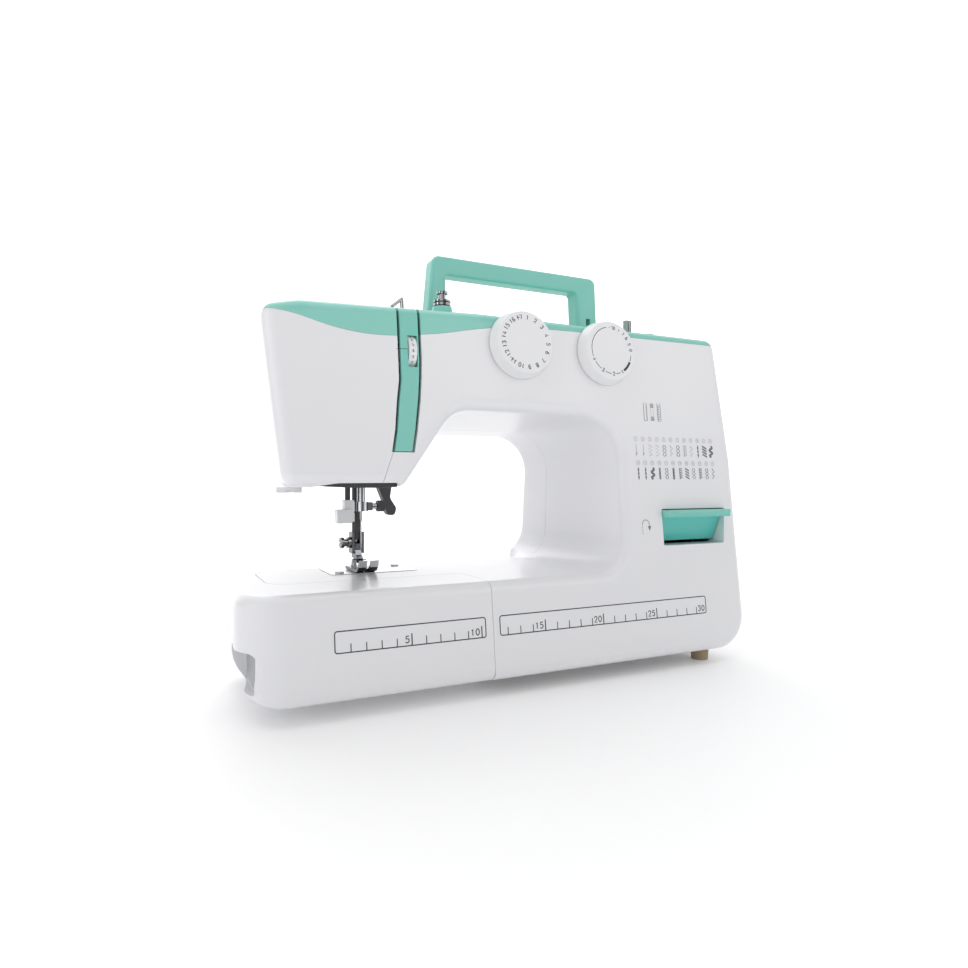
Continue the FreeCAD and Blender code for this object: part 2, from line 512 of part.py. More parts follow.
# upper shaft, its bushes, crank, pulleys and handwheel
MAIN = cyl(54, SHAFT_Y, SHAFT_Z, SHAFT_R, WHEEL_X1 - 54 - 5.5, (1, 0, 0))
bush = None
for x0, ln in ((66, 10), (288, 12)):
    b = cyl(x0, SHAFT_Y, SHAFT_Z, 8.0, ln, (1, 0, 0)).cut(cyl(x0 - 1, SHAFT_Y, SHAFT_Z, SHAFT_R + RUN, ln + 2, (1, 0, 0)))
    bush = b if bush is None else bush.fuse(b)
BUSHES = [bush]
crank = cyl(53, SHAFT_Y, SHAFT_Z, 19, 8, (1, 0, 0)).cut(prism_yz([(SHAFT_Y - 25, SHAFT_Z + 4), (SHAFT_Y - 9, SHAFT_Z + 4), (SHAFT_Y - 7, SHAFT_Z + 25), (SHAFT_Y - 25, SHAFT_Z + 25)], 50, 65))
crank = crank.cut(prism_yz([(SHAFT_Y + 25, SHAFT_Z + 4), (SHAFT_Y + 9, SHAFT_Z + 4), (SHAFT_Y + 7, SHAFT_Z + 25), (SHAFT_Y + 25, SHAFT_Z + 25)], 50, 65))
crank = crank.fuse(cyl(60, SHAFT_Y, SHAFT_Z, 9, 5.6, (1, 0, 0)))
crank = crank.fuse(cyl(51.5, SHAFT_Y, SHAFT_Z + 14, 2.5, 2, (1, 0, 0)))
add("main_shaft", crank.fuse(MAIN))


def pulley(x0, x1, y, z, r, flange, bore):
    s = cyl(x0, y, z, r, x1 - x0, (1, 0, 0))
    s = s.fuse(cyl(x0, y, z, r + flange, 1.0, (1, 0, 0))).fuse(cyl(x1 - 1.0, y, z, r + flange, 1.0, (1, 0, 0)))
    return s.cut(cyl(x0 - 1, y, z, bore, x1 - x0 + 2, (1, 0, 0)))


TR = 13.5
add("upper_timing_pulley", pulley(304, 314, SHAFT_Y, SHAFT_Z, TR, 3.0, SHAFT_R))
LOWER_PULLEY = pulley(304, 314, SHAFT_Y, LOWER_Z, TR, 3.0, 4.0)
NODES["upper_timing_pulley"] = NODES["upper_timing_pulley"].fuse(pulley(318, 327, SHAFT_Y, SHAFT_Z, 24.0, 2.6, SHAFT_R)).fuse(
    cyl(313.5, SHAFT_Y, SHAFT_Z, 8.0, 5, (1, 0, 0)).cut(cyl(313, SHAFT_Y, SHAFT_Z, SHAFT_R, 7, (1, 0, 0))))
NODES["upper_pulleys"] = NODES.pop("upper_timing_pulley")
MOT_Y, MOT_Z = 58.0, 12.0
MOTOR_PULLEY = pulley(318, 327, MOT_Y, MOT_Z, 6.0, 2.6, 2.0)


def belt(c1, r1, c2, r2, th, x0, x1):
    """open belt loop in the YZ plane round two circles"""
    def hull(e):
        R1, R2 = r1 + e, r2 + e
        dy, dz = c2[0] - c1[0], c2[1] - c1[1]
        d = math.hypot(dy, dz)
        a = math.atan2(dz, dy)
        b = math.acos((R1 - R2) / d)
        pts = []
        for s in (1, -1):
            pts.append(((c1[0] + R1 * math.cos(a + s * b), c1[1] + R1 * math.sin(a + s * b)), (c2[0] + R2 * math.cos(a + s * b), c2[1] + R2 * math.sin(a + s * b))))
        far1 = (c1[0] - R1 * math.cos(a), c1[1] - R1 * math.sin(a))
        far2 = (c2[0] + R2 * math.cos(a), c2[1] + R2 * math.sin(a))
        P = lambda q: V(x0, q[0], q[1])
        w = [Part.makeLine(P(pts[0][0]), P(pts[0][1])), Part.Arc(P(pts[0][1]), P(far2), P(pts[1][1])).toShape(),
             Part.makeLine(P(pts[1][1]), P(pts[1][0])), Part.Arc(P(pts[1][0]), P(far1), P(pts[0][0])).toShape()]
        return Part.Face(Part.Wire(w)).extrude(V(x1 - x0, 0, 0))
    return hull(0.3 + th).cut(hull(0.3))


add("drive_belts", Part.Compound([belt((SHAFT_Y, SHAFT_Z), TR, (SHAFT_Y, LOWER_Z), TR, 1.6, 305.4, 312.6),
                                  belt((SHAFT_Y, SHAFT_Z), 24.0, (MOT_Y, MOT_Z), 6.0, 1.6, 319.4, 325.6)]))

wheel = cyl(WHEEL_X0, SHAFT_Y, SHAFT_Z, WHEEL_R, WHEEL_X1 - WHEEL_X0, (1, 0, 0))
wheel = ffillet(wheel, [e for e in wheel.Edges if abs(e.Length - 2 * math.pi * WHEEL_R) < 0.5 and e.BoundBox.XMin > WHEEL_X1 - 1], (6, 4))
wheel = wheel.cut(cyl(WHEEL_X1 - 5, SHAFT_Y, SHAFT_Z, 17.0, 8, (1, 0, 0)))
wheel = wheel.cut(cyl(WHEEL_X0 - 1, SHAFT_Y, SHAFT_Z, SHAFT_R, 60, (1, 0, 0)))
wheel = wheel.cut(cyl(WHEEL_X0 - 1, SHAFT_Y, SHAFT_Z, 26.0, 12, (1, 0, 0)).cut(cyl(WHEEL_X0 - 1, SHAFT_Y, SHAFT_Z, 10.0, 14, (1, 0, 0))))
for k in range(24):
    a = 2 * math.pi * k / 24
    wheel = wheel.cut(cyl(WHEEL_X0 - 1, SHAFT_Y + (WHEEL_R + 1.2) * math.cos(a), SHAFT_Z + (WHEEL_R + 1.2) * math.sin(a), 2.2, 20, (1, 0, 0)))
knob = cyl(WHEEL_X1 - 4.7, SHAFT_Y, SHAFT_Z, 15.5, 4.2, (1, 0, 0))
knob = ffillet(knob, [e for e in knob.Edges if e.BoundBox.XMin > WHEEL_X1 - 1], (1.2,))
NODES["main_shaft"] = NODES["main_shaft"].common(box(0, WHEEL_X1 - 5.1, 0, 300, 0, 300))
knob = knob.fuse(cyl(WHEEL_X1 - 5.05, SHAFT_Y, SHAFT_Z, 9.0, 1.0, (1, 0, 0)))
add("handwheel", wheel.fuse(knob))

# lower shaft
LOWER = cyl(72, SHAFT_Y, LOWER_Z, 4.5, 314 - 72, (1, 0, 0))
bush = None
for x0, ln in ((118, 8), (288, 12)):
    b = cyl(x0, SHAFT_Y, LOWER_Z, 7.0, ln, (1, 0, 0)).cut(cyl(x0 - 1, SHAFT_Y, LOWER_Z, 4.5 + RUN, ln + 2, (1, 0, 0)))
    bush = b if bush is None else bush.fuse(b)
BUSHES.append(bush)
add("lower_shaft", LOWER.fuse(cyl(84, SHAFT_Y + 1.5, LOWER_Z, 9, 7, (1, 0, 0))).fuse(LOWER_PULLEY))

# motor
mt = cyl(226, MOT_Y, MOT_Z, 25, 70, (1, 0, 0))
mt = ffillet(mt, [e for e in mt.Edges if abs(e.Length - 2 * math.pi * 25) < 0.5], (3,))
mt = mt.fuse(cyl(296, MOT_Y, MOT_Z, 9, 5, (1, 0, 0))).fuse(box(235, 290, MOT_Y - 18, MOT_Y + 18, -26, MOT_Z - 12))
mt = mt.cut(cyl(290, MOT_Y, MOT_Z, 2.5 + RUN, 20, (1, 0, 0)))
add("motor", mt)
add("motor_pulley", MOTOR_PULLEY.fuse(cyl(290.5, MOT_Y, MOT_Z, 2.5, 37, (1, 0, 0))))

# hook, race, bobbin case and bobbin
add("hook_race", cut(cyl(NEEDLE_X, HOOK_Y - 6, LOWER_Z, 19.5, 16, (0, 1, 0)), cyl(NEEDLE_X, HOOK_Y - 7, LOWER_Z, 16.2, 14, (0, 1, 0)),
                     cyl(NEEDLE_X, HOOK_Y, LOWER_Z, 4.0 + RUN, 30, (0, 1, 0)), box(NEEDLE_X - 6, NEEDLE_X + 6, HOOK_Y - 8, HOOK_Y + 12, LOWER_Z + 14, 40)).fuse(
    cyl(NEEDLE_X, HOOK_Y + 10, LOWER_Z, 12, FY0 - HOOK_Y - 10, (0, 1, 0)).cut(cyl(NEEDLE_X, HOOK_Y, LOWER_Z, 4.0 + RUN, 60, (0, 1, 0))).cut(
        box(0, 100, NEEDLE_Y - 8, NEEDLE_Y + 8, 14, 40))))
hk = cyl(NEEDLE_X, HOOK_Y - 5, LOWER_Z, 15.8, 11.5, (0, 1, 0)).cut(cyl(NEEDLE_X, HOOK_Y - 6, LOWER_Z, 12.6, 10.5, (0, 1, 0)))
hk = hk.cut(prism_xz([(NEEDLE_X, LOWER_Z), (NEEDLE_X + 40, LOWER_Z - 12), (NEEDLE_X + 40, LOWER_Z + 12)], HOOK_Y - 6, HOOK_Y + 4.5))
add("hook", hk.fuse(cyl(NEEDLE_X, HOOK_Y + 6.3, LOWER_Z, 4.0, 45.5, (0, 1, 0))))
bcase = cyl(NEEDLE_X, HOOK_Y - 11, LOWER_Z, 12.0, 14, (0, 1, 0)).cut(cyl(NEEDLE_X, HOOK_Y - 9.8, LOWER_Z, 10.9, 14, (0, 1, 0)))
bcase = bcase.fuse(cyl(NEEDLE_X, HOOK_Y - 11, LOWER_Z, 2.8, 12, (0, 1, 0))).cut(box(NEEDLE_X - 1, NEEDLE_X + 1, HOOK_Y - 12, HOOK_Y + 5, LOWER_Z + 10, 40))
bcase = bcase.fuse(box(NEEDLE_X - 4, NEEDLE_X + 4, HOOK_Y - 12.4, HOOK_Y - 11, LOWER_Z - 9, LOWER_Z + 9))
add("bobbin_case", bcase)
bob = cyl(NEEDLE_X, HOOK_Y - 9.3, LOWER_Z, 10.3, 1.2, (0, 1, 0)).fuse(cyl(NEEDLE_X, HOOK_Y + 0.5, LOWER_Z, 10.3, 1.2, (0, 1, 0))).fuse(cyl(NEEDLE_X, HOOK_Y - 9.3, LOWER_Z, 4.2, 11, (0, 1, 0)))
bob = bob.cut(cyl(NEEDLE_X, HOOK_Y - 10, LOWER_Z, 2.86, 14, (0, 1, 0)))
add("bobbin", bob)

# feed dog and its bar, below the plate at rest
fd = box(NEEDLE_X - 9, NEEDLE_X + 9, NEEDLE_Y - 9.5, NEEDLE_Y - 3.5, 29.5, 33)
fd = fd.fuse(box(NEEDLE_X - 9, NEEDLE_X + 9, NEEDLE_Y + 3.5, NEEDLE_Y + 9.5, 29.5, 33))
for x0 in (-7.2, 5.0):
    fd = fd.fuse(box(NEEDLE_X + x0, NEEDLE_X + x0 + 2.2, NEEDLE_Y - 9.5, NEEDLE_Y + 10.5, 29.5, BED_Z - 0.4))
    for k in range(13):
        y = NEEDLE_Y - 9.5 + k * 1.5
        fd = fd.cut(prism_yz([(y, BED_Z - 0.3), (y + 1.5, BED_Z - 0.3), (y + 1.5, BED_Z - 1.4)], 0, 90))
fb = box(NEEDLE_X - 8, NEEDLE_X - 3, 88, 112, 26.8, 29.4).fuse(box(NEEDLE_X + 3, NEEDLE_X + 8, 88, 112, 26.8, 29.4)).fuse(box(NEEDLE_X - 8, NEEDLE_X + 50, 108, 112, 26.8, 29.4))
add("feed_dog", fd.fuse(fb).fuse(box(NEEDLE_X - 8, NEEDLE_X - 3, 88, 106, 29.0, 30)).fuse(box(NEEDLE_X + 3, NEEDLE_X + 8, 88, 106, 29.0, 30)))

# ---------------------------------------------------------------------------
# Needle bar group
# ---------------------------------------------------------------------------
nb = cyl(NEEDLE_X, NEEDLE_Y, 82.6, 3.2, 214 - 82.6)
nb = nb.fuse(cyl(NEEDLE_X, NEEDLE_Y, 150, 5.4, 8)).cut(cyl(NEEDLE_X, NEEDLE_Y - 0, 80, 1.05, 10.5))
add("needle_bar", nb)
nbb = None
for z0, ln in ((112, 9), (201, 6)):
    b = cyl(NEEDLE_X, NEEDLE_Y, z0, 5.5, ln).cut(cyl(NEEDLE_X, NEEDLE_Y, z0 - 1, 3.2 + RUN, ln + 2))
    nbb = b if nbb is None else nbb.fuse(b)
BUSHES.append(nbb)
nc = cyl(NEEDLE_X, NEEDLE_Y, 82.4, 5.2, 7.2).fuse(box(NEEDLE_X + 2, NEEDLE_X + 8.2, NEEDLE_Y - 3, NEEDLE_Y + 3, 82.9, 89.2))
nc = nc.cut(cyl(NEEDLE_X, NEEDLE_Y, 80, 3.2, 12)).cut(cyl(NEEDLE_X + 2, NEEDLE_Y, 86.1, 1.6 + RUN, 10, (1, 0, 0)))
add("needle_clamp", nc)
ncs = cyl(NEEDLE_X + 3.5, NEEDLE_Y, 86.1, 1.6, 10, (1, 0, 0)).fuse(cyl(NEEDLE_X + 8.6, NEEDLE_Y, 86.1, 2.2, 5.4, (1, 0, 0)))
add("needle_clamp_screw", ncs)
nk = cyl(NEEDLE_X + 12.4, NEEDLE_Y, 86.1, 4.3, 5.6, (1, 0, 0))
for k in range(12):
    a = 2 * math.pi * k / 12
    nk = nk.cut(cyl(NEEDLE_X + 12, NEEDLE_Y + 4.5 * math.cos(a), 86.1 + 4.5 * math.sin(a), 0.5, 7, (1, 0, 0)))
nk = nk.cut(cyl(NEEDLE_X + 12, NEEDLE_Y, 86.1, 2.2, 2.0, (1, 0, 0)))
add("needle_clamp_knob", nk)
nd = cyl(NEEDLE_X, NEEDLE_Y, 76.5, 1.0, 13.4).cut(box(NEEDLE_X - 2, NEEDLE_X + 2, NEEDLE_Y + 0.65, NEEDLE_Y + 3, 76, 95))
nd = nd.fuse(cone(NEEDLE_X, NEEDLE_Y, 74.5, 0.45, 1.0, 2.0)).fuse(cyl(NEEDLE_X, NEEDLE_Y, 55.5, 0.45, 19.2)).fuse(cone(NEEDLE_X, NEEDLE_Y, 52.5, 0.08, 0.45, 3.0))
nd = nd.cut(box(NEEDLE_X - 2, NEEDLE_X + 2, NEEDLE_Y + 0.66, NEEDLE_Y + 3, 76, 95))
nd = nd.cut(box(NEEDLE_X - 0.18, NEEDLE_X + 0.18, NEEDLE_Y - 2, NEEDLE_Y + 2, 56.2, 58.0))
add("needle", nd)

# presser bar group
pb = cyl(NEEDLE_X, PRESS_Y, 60, 3.4, 208.4 - 60)
pb = pb.fuse(cyl(NEEDLE_X, PRESS_Y, 132, 4.8, 6))
pb = pb.cut(box(NEEDLE_X - 5, NEEDLE_X - 2.2, PRESS_Y - 5, PRESS_Y + 5, 50, 66))
add("presser_bar", pb)
pbb = None
for z0, ln in ((112, 9), (201, 6)):
    b = cyl(NEEDLE_X, PRESS_Y, z0, 5.0, ln).cut(cyl(NEEDLE_X, PRESS_Y, z0 - 1, 3.4 + RUN, ln + 2))
    pbb = b if pbb is None else pbb.fuse(b)
pbb = pbb.cut(cyl(NEEDLE_X, NEEDLE_Y, 60, 5.5, 200))
BUSHES.append(pbb)
add("shaft_bushes", Part.Compound([q for b in BUSHES for q in b.Solids]))
# helical pressure spring, as rings joined by a spine so that it stays one solid
hel = Part.makeHelix(5.6, 56, 5.0)
prof = Part.Wire([Part.makeCircle(0.6, V(5.0, 0, 0), V(0, 1, 0))])
try:
    spr = Part.Wire(hel).makePipeShell([prof], True, True)
    spr.translate(V(NEEDLE_X, PRESS_Y, 140))
    assert spr.isValid()
except Exception:
    spr = cyl(NEEDLE_X, PRESS_Y, 140, 5.6, 56).cut(cyl(NEEDLE_X, PRESS_Y, 139, 4.4, 60))
add("presser_spring", spr)
NODES["machine_frame"] = NODES["machine_frame"].cut(cyl(NEEDLE_X, PRESS_Y, 121.5, 6.4, 79.0))

# ankle, foot and screws
an = box(NEEDLE_X - 4.6, NEEDLE_X + 4.8, PRESS_Y - 4.8, PRESS_Y + 4.6, 49.5, 66).cut(cyl(NEEDLE_X, PRESS_Y, 56, 3.4, 30)).cut(box(NEEDLE_X - 2.2, NEEDLE_X + 2.2, PRESS_Y - 6, PRESS_Y - 3, 57, 70))
an = an.cut(box(NEEDLE_X - 5, NEEDLE_X + 5, PRESS_Y - 6, PRESS_Y + 6, 60.01, 70).cut(cyl(NEEDLE_X, PRESS_Y, 55, 4.75, 30)).common(box(0, 1, 0, 1, 0, 1)))
an = an.fuse(prism_yz([(PRESS_Y - 4.8, 52), (PRESS_Y - 4.8, 49.5), (PRESS_Y + 4.6, 49.5), (PRESS_Y + 4.6, 46), (PRESS_Y - 8, 44.6), (PRESS_Y - 10.5, 42.6), (PRESS_Y - 10.5, 46), (PRESS_Y - 7, 48.4)], NEEDLE_X - 2.4, NEEDLE_X + 2.4))
an = an.cut(cyl(NEEDLE_X - 5, PRESS_Y - 9.0, 44.0, 0.9, 10, (1, 0, 0)))
an = an.cut(cyl(NEEDLE_X - 10, PRESS_Y, 57.6, 1.65, 8, (1, 0, 0)))
add("presser_foot_holder", an)
fsx = NEEDLE_X - 4.6
fs = cyl(fsx - 8.0, PRESS_Y, 57.6, 4.4, 2.2, (1, 0, 0)).fuse(cyl(fsx - 5.8, PRESS_Y, 57.6, 3.0, 3.2, (1, 0, 0))).fuse(cyl(fsx - 2.6, PRESS_Y, 57.6, 4.4, 2.4, (1, 0, 0))).fuse(cyl(fsx - 1, PRESS_Y, 57.6, 1.6, 3.2, (1, 0, 0)))
fs = fs.cut(box(fsx - 9, fsx - 7.2, PRESS_Y - 6, PRESS_Y + 6, 57.1, 58.1))
add("presser_foot_screw", fs)
# zigzag foot: sole with upturned toes, needle slot and cross pin
sole_z = BED_Z + 0.75
prof = [(NEEDLE_Y + 17, sole_z + 1.6), (NEEDLE_Y + 16, sole_z), (NEEDLE_Y - 11, sole_z), (NEEDLE_Y - 15, sole_z + 1.6), (NEEDLE_Y - 18.4, sole_z + 5.0), (NEEDLE_Y - 20.4, sole_z + 9.4),
        (NEEDLE_Y - 21.4, sole_z + 9.4), (NEEDLE_Y - 20.0, sole_z + 4.4), (NEEDLE_Y - 16.6, sole_z + 2.8), (NEEDLE_Y - 11, sole_z + 2.4)]
prof = [(NEEDLE_Y + 17, sole_z + 1.6), (NEEDLE_Y + 16, sole_z), (NEEDLE_Y - 11, sole_z), (NEEDLE_Y - 15, sole_z + 1.2), (NEEDLE_Y - 18.6, sole_z + 4.4), (NEEDLE_Y - 21.0, sole_z + 9.6),
        (NEEDLE_Y - 19.6, sole_z + 9.8), (NEEDLE_Y - 17.0, sole_z + 5.2), (NEEDLE_Y - 13.6, sole_z + 2.9), (NEEDLE_Y - 10, sole_z + 2.2), (NEEDLE_Y + 17, sole_z + 2.2)]
ft = prism_yz(prof, NEEDLE_X - 7.5, NEEDLE_X + 7.5)
ft = ft.cut(box(NEEDLE_X - 4.2, NEEDLE_X + 4.2, NEEDLE_Y - 2.2, NEEDLE_Y + 1.6, 30, 60)).cut(box(NEEDLE_X - 1.3, NEEDLE_X + 1.3, NEEDLE_Y - 30, NEEDLE_Y - 2, 30, 60))
for s in (-1, 1):
    ear = prism_yz([(NEEDLE_Y + 1.8, sole_z + 2), (NEEDLE_Y + 10, sole_z + 2), (NEEDLE_Y + 8, sole_z + 7.6), (NEEDLE_Y + 5.6, sole_z + 8.6), (NEEDLE_Y + 3.2, sole_z + 8)], NEEDLE_X + (2.8 if s > 0 else -5.0), NEEDLE_X + (5.0 if s > 0 else -2.8))
    ft = ft.fuse(ear)
ft = ft.cut(cyl(NEEDLE_X - 6, PRESS_Y - 9.0, 44.0, 0.9, 12, (1, 0, 0)))
an_pin = cyl(NEEDLE_X - 5.2, PRESS_Y - 9.0, 44.0, 0.9, 10.4, (1, 0, 0))
add("presser_foot", ft.fuse(an_pin))

# presser lifter: lever on a pin along Y, passing through the slanted wall
LPX, LPY, LPZ = 60.0, 122.6, 124.0
w = rounded_wire([(55.2, 128.6, 4), (64.6, 128.6, 4), (70.5, 117, 6), (78.2, 103, 4), (76.6, 91.5, 5), (82.0, 83.5, 3), (80.8, 77.4, 3), (74.4, 77.6, 3), (70.6, 90.5, 5), (66.4, 101, 5), (57.2, 116, 5)],
                 lambda a, b: V(a, 122.0, b))
lf = Part.Face(w).extrude(V(0, 7.0, 0)).fuse(cyl(LPX, 119.0, LPZ, 5.2, 3.2, (0, 1, 0))).cut(cyl(LPX, 100, LPZ, 3.0 + RUN, 60, (0, 1, 0)))
add("presser_lifter", lf)
PINS.append(cyl(LPX, 112, LPZ, 3.0, 18, (0, 1, 0)).fuse(cyl(LPX, 129.4, LPZ, 4.2, 1.3, (0, 1, 0))))
fr2 = NODES["machine_frame"]
fr2 = fr2.fuse(box(53, 67, 110, 118.4, 116, 136)).cut(cyl(LPX, 100, LPZ, 3.0, 30, (0, 1, 0))).cut(cyl(NEEDLE_X, PRESS_Y, 60, 5.0, 160)).cut(cyl(NEEDLE_X, PRESS_Y, 121.5, 6.4, 79.0))
fr2 = fr2.cut(cyl(LPX, 118.41, LPZ, 12.0, 14, (0, 1, 0)))
fr2 = fr2.cut(prism_xz([(46.0, 101.5), (86.9, 157.8), (140, 157.8), (140, 101.5)], 60, 118.5))
NODES["machine_frame"] = fr2

# needle threader
th = cyl(34.5, NEEDLE_Y, 84, 2.0, 62)
th = th.fuse(cyl(34.5, NEEDLE_Y, 141, 3.4, 5))
add("threader_rod", th)
tbk = box(31.2, 38.4, NEEDLE_Y - 4.2, NEEDLE_Y + 3.2, 80.4, 91.0).fuse(box(25.2, 36.6, NEEDLE_Y - 6.0, NEEDLE_Y + 2.4, 73.6, 84.0))
tbk = tbk.fuse(prism_xz([(36.4, 84), (38.8, 81), (38.8, 74.8), (37.6, 74.8), (36.4, 78)], NEEDLE_Y - 4.2, NEEDLE_Y - 1.6)).cut(cyl(34.5, NEEDLE_Y, 84, 2.0, 20))
tbk = ffillet(tbk, [e for e in tbk.Edges if abs(e.Length - 8.4) < 0.05 or abs(e.Length - 7.4) < 0.05], (0.8, 0.5))
add("needle_threader", tbk)

# take-up lever: rides in the left slot of the thread channel
TKY, TKZ = 84.0, 165.0
a0 = math.radians(47.0)
tip = (TKY - 71 * math.cos(a0), TKZ + 71 * math.sin(a0))
ux, uz = -math.cos(a0), math.sin(a0)
nx, nz = -uz, ux
arm_pts = [(TKY + nx * 4, TKZ + nz * 4), (tip[0] + nx * 2.2, tip[1] + nz * 2.2), (tip[0] - nx * 2.2, tip[1] - nz * 2.2), (TKY - nx * 4, TKZ - nz * 4)]
tk = prism_yz(arm_pts, 48.4, 49.6).fuse(cyl(48.4, tip[0], tip[1], 3.3, 1.2, (1, 0, 0))).fuse(cyl(44.5, TKY, TKZ, 4.6, 5.1, (1, 0, 0)))
tk = tk.cut(cyl(40, tip[0], tip[1], 1.3, 12, (1, 0, 0))).cut(cyl(40, TKY, TKZ, 2.0 + RUN, 14, (1, 0, 0)))
add("take_up_lever", tk)
PINS.append(cyl(28, TKY, TKZ, 2.0, 22.4, (1, 0, 0)).fuse(cyl(50.0, TKY, TKZ, 3.2, 1.2, (1, 0, 0))))
NODES["machine_frame"] = NODES["machine_frame"].cut(cyl(20, TKY, TKZ, 2.0, 20, (1, 0, 0)))

# thread tension unit
tn = cyl(TEN_X0, TEN_Y, TEN_Z, 12.0, TEN_X1 - TEN_X0 - 0.4, (1, 0, 0))
for k in range(20):
    a = 2 * math.pi * k / 20
    tn = tn.cut(cyl(TEN_X0 - 1, TEN_Y + 12.5 * math.cos(a), TEN_Z + 12.5 * math.sin(a), 0.8, 9, (1, 0, 0)))
tn = tn.cut(cyl(TEN_X0 - 2, TEN_Y, TEN_Z, 2.0 + RUN, 12, (1, 0, 0)))
add("tension_dial", tn)
tdk = cyl(51.6, TEN_Y, TEN_Z, 6.3, 0.8, (1, 0, 0)).fuse(cyl(53.0, TEN_Y, TEN_Z, 6.3, 0.8, (1, 0, 0))).cut(cyl(50, TEN_Y, TEN_Z, 2.0, 10, (1, 0, 0)))
add("tension_discs", tdk.fuse(cyl(51.4, TEN_Y, TEN_Z, 2.0, 17.0, (1, 0, 0))))
tbr = box(66.0, 68.5, 26.5, 48, 180, 206)
tbr = tbr.fuse(box(66.0, 68.5, 46, 82.0, 186, 199)).fuse(box(62, 72, 79, 82.0, 184, 199))
BRACKETS.append(tbr.cut(cyl(60, TEN_Y, TEN_Z, 2.0, 12, (1, 0, 0))))
add("inner_brackets", Part.Compound([q for b in BRACKETS for q in b.Solids]))

# ---------------------------------------------------------------------------
# Top: handle, guides, winder, spool pin
# ---------------------------------------------------------------------------
HL, HR, HT = 89.6, 245.0, 278.2
ho = rprism_xz([(HL, HANDLE_PIVOT_Z - 7.4, 0), (HL + 15.4, HANDLE_PIVOT_Z - 7.4, 0), (HL + 15.4, 263.8, 3.0), (HR - 20.6, 264.2, 3.0), (HR - 18.6, HANDLE_PIVOT_Z - 7.4, 0), (HR + 1.4, HANDLE_PIVOT_Z - 7.4, 0),
                (HR - 1.0, HT, 6.0), (HL + 4.6, HT, 6.0)], HANDLE_Y - 7.4, HANDLE_Y + 7.4)
legs = cyl(HL - 5, HANDLE_Y, HANDLE_PIVOT_Z, 7.4, 170, (1, 0, 0)).fuse(box(HL - 5, HR + 10, HANDLE_Y - 7.4, HANDLE_Y + 7.4, HANDLE_PIVOT_Z, 300))
ho = ho.common(legs)
ho = ffillet(ho, [e for e in ho.Edges if e.BoundBox.ZMin > HANDLE_PIVOT_Z + 0.5 and e.BoundBox.YLength < 0.02], (2.4, 1.6, 1.0))
fork = None
lugs = None
pins = None
for x0, px0, px1 in ((HL + 5.6, HL + 1.5, HL + 13.6), (HR - 10.6, HR - 16.0, HR - 2.4)):
    f = box(x0, x0 + 4.4, HANDLE_Y - 12, HANDLE_Y + 12, HANDLE_PIVOT_Z - 9, HANDLE_PIVOT_Z + 9)
    l = cyl(x0 + 0.5, HANDLE_Y, HANDLE_PIVOT_Z, 6.0, 3.4, (1, 0, 0)).fuse(box(x0 + 0.5, x0 + 3.9, HANDLE_Y - 6, HANDLE_Y + 6, 223.6, HANDLE_PIVOT_Z)).cut(cyl(x0 - 9, HANDLE_Y, HANDLE_PIVOT_Z, 2.0, 30, (1, 0, 0)))
    p = cyl(px0, HANDLE_Y, HANDLE_PIVOT_Z, 2.0, px1 - px0, (1, 0, 0))
    h = cyl(px0 - 0.4, HANDLE_Y, HANDLE_PIVOT_Z, 2.0 + RUN, px1 - px0 + 0.8, (1, 0, 0))
    ho = ho.cut(f).cut(h)
    lugs = l if lugs is None else lugs.fuse(l)
    pins = p if pins is None else pins.fuse(p)
add("carry_handle", ho)
PINS.append(pins)
top_cover = top_cover.fuse(lugs)

GX, GY = 58.0, 54.0
top_cover = top_cover.cut(cyl(GX - 3, GY, 215, 1.3, 20)).cut(cyl(GX + 5.2, GY + 2, 215, 1.3, 20))


def rod(a, b, r):
    a, b = V(*a), V(*b)
    return Part.makeCylinder(r, (b - a).Length, a, b - a)


ga, gb, gc = (GX - 3, GY, 230.2), (GX + 4.4, GY + 1, 236.4), (GX + 5.2, GY + 2, 229.6)
g = cyl(GX - 3, GY, 222, 1.3, 8.2).fuse(Part.makeSphere(1.3, V(*ga))).fuse(rod(ga, gb, 1.3)).fuse(Part.makeSphere(1.3, V(*gb))).fuse(rod(gb, gc, 1.3)).fuse(Part.makeSphere(1.3, V(*gc))).fuse(cyl(GX + 5.2, GY + 2, 222, 1.3, 7.6))
GUIDE = g
BPX, BPY = 91.6, 49.0
post = cone(BPX, BPY, TOP_Z - 0.1, 8.0, 7.0, 6.0).fuse(cyl(BPX, BPY, 221, 2.4, 6))
top_cover = top_cover.cut(cyl(BPX, BPY, 215, 2.4, 20))
post = post.cut(cyl(BPX, BPY, 219, 1.5, 30))
POST = post
dsc = cyl(BPX, BPY, 232.0, 1.5, 11.6).fuse(cyl(BPX, BPY, 233.0, 6.2, 1.6)).fuse(cyl(BPX, BPY, 235.6, 6.2, 1.2)).fuse(cyl(BPX, BPY, 236.8, 2.6, 5.0)).fuse(cyl(BPX, BPY, 241.6, 4.0, 1.8)).fuse(cyl(BPX, BPY, 222, 1.5, 12)).fuse(cyl(BPX, BPY, 232.2, 3.0, 4.0))
add("top_thread_guides", Part.Compound([GUIDE, dsc]))

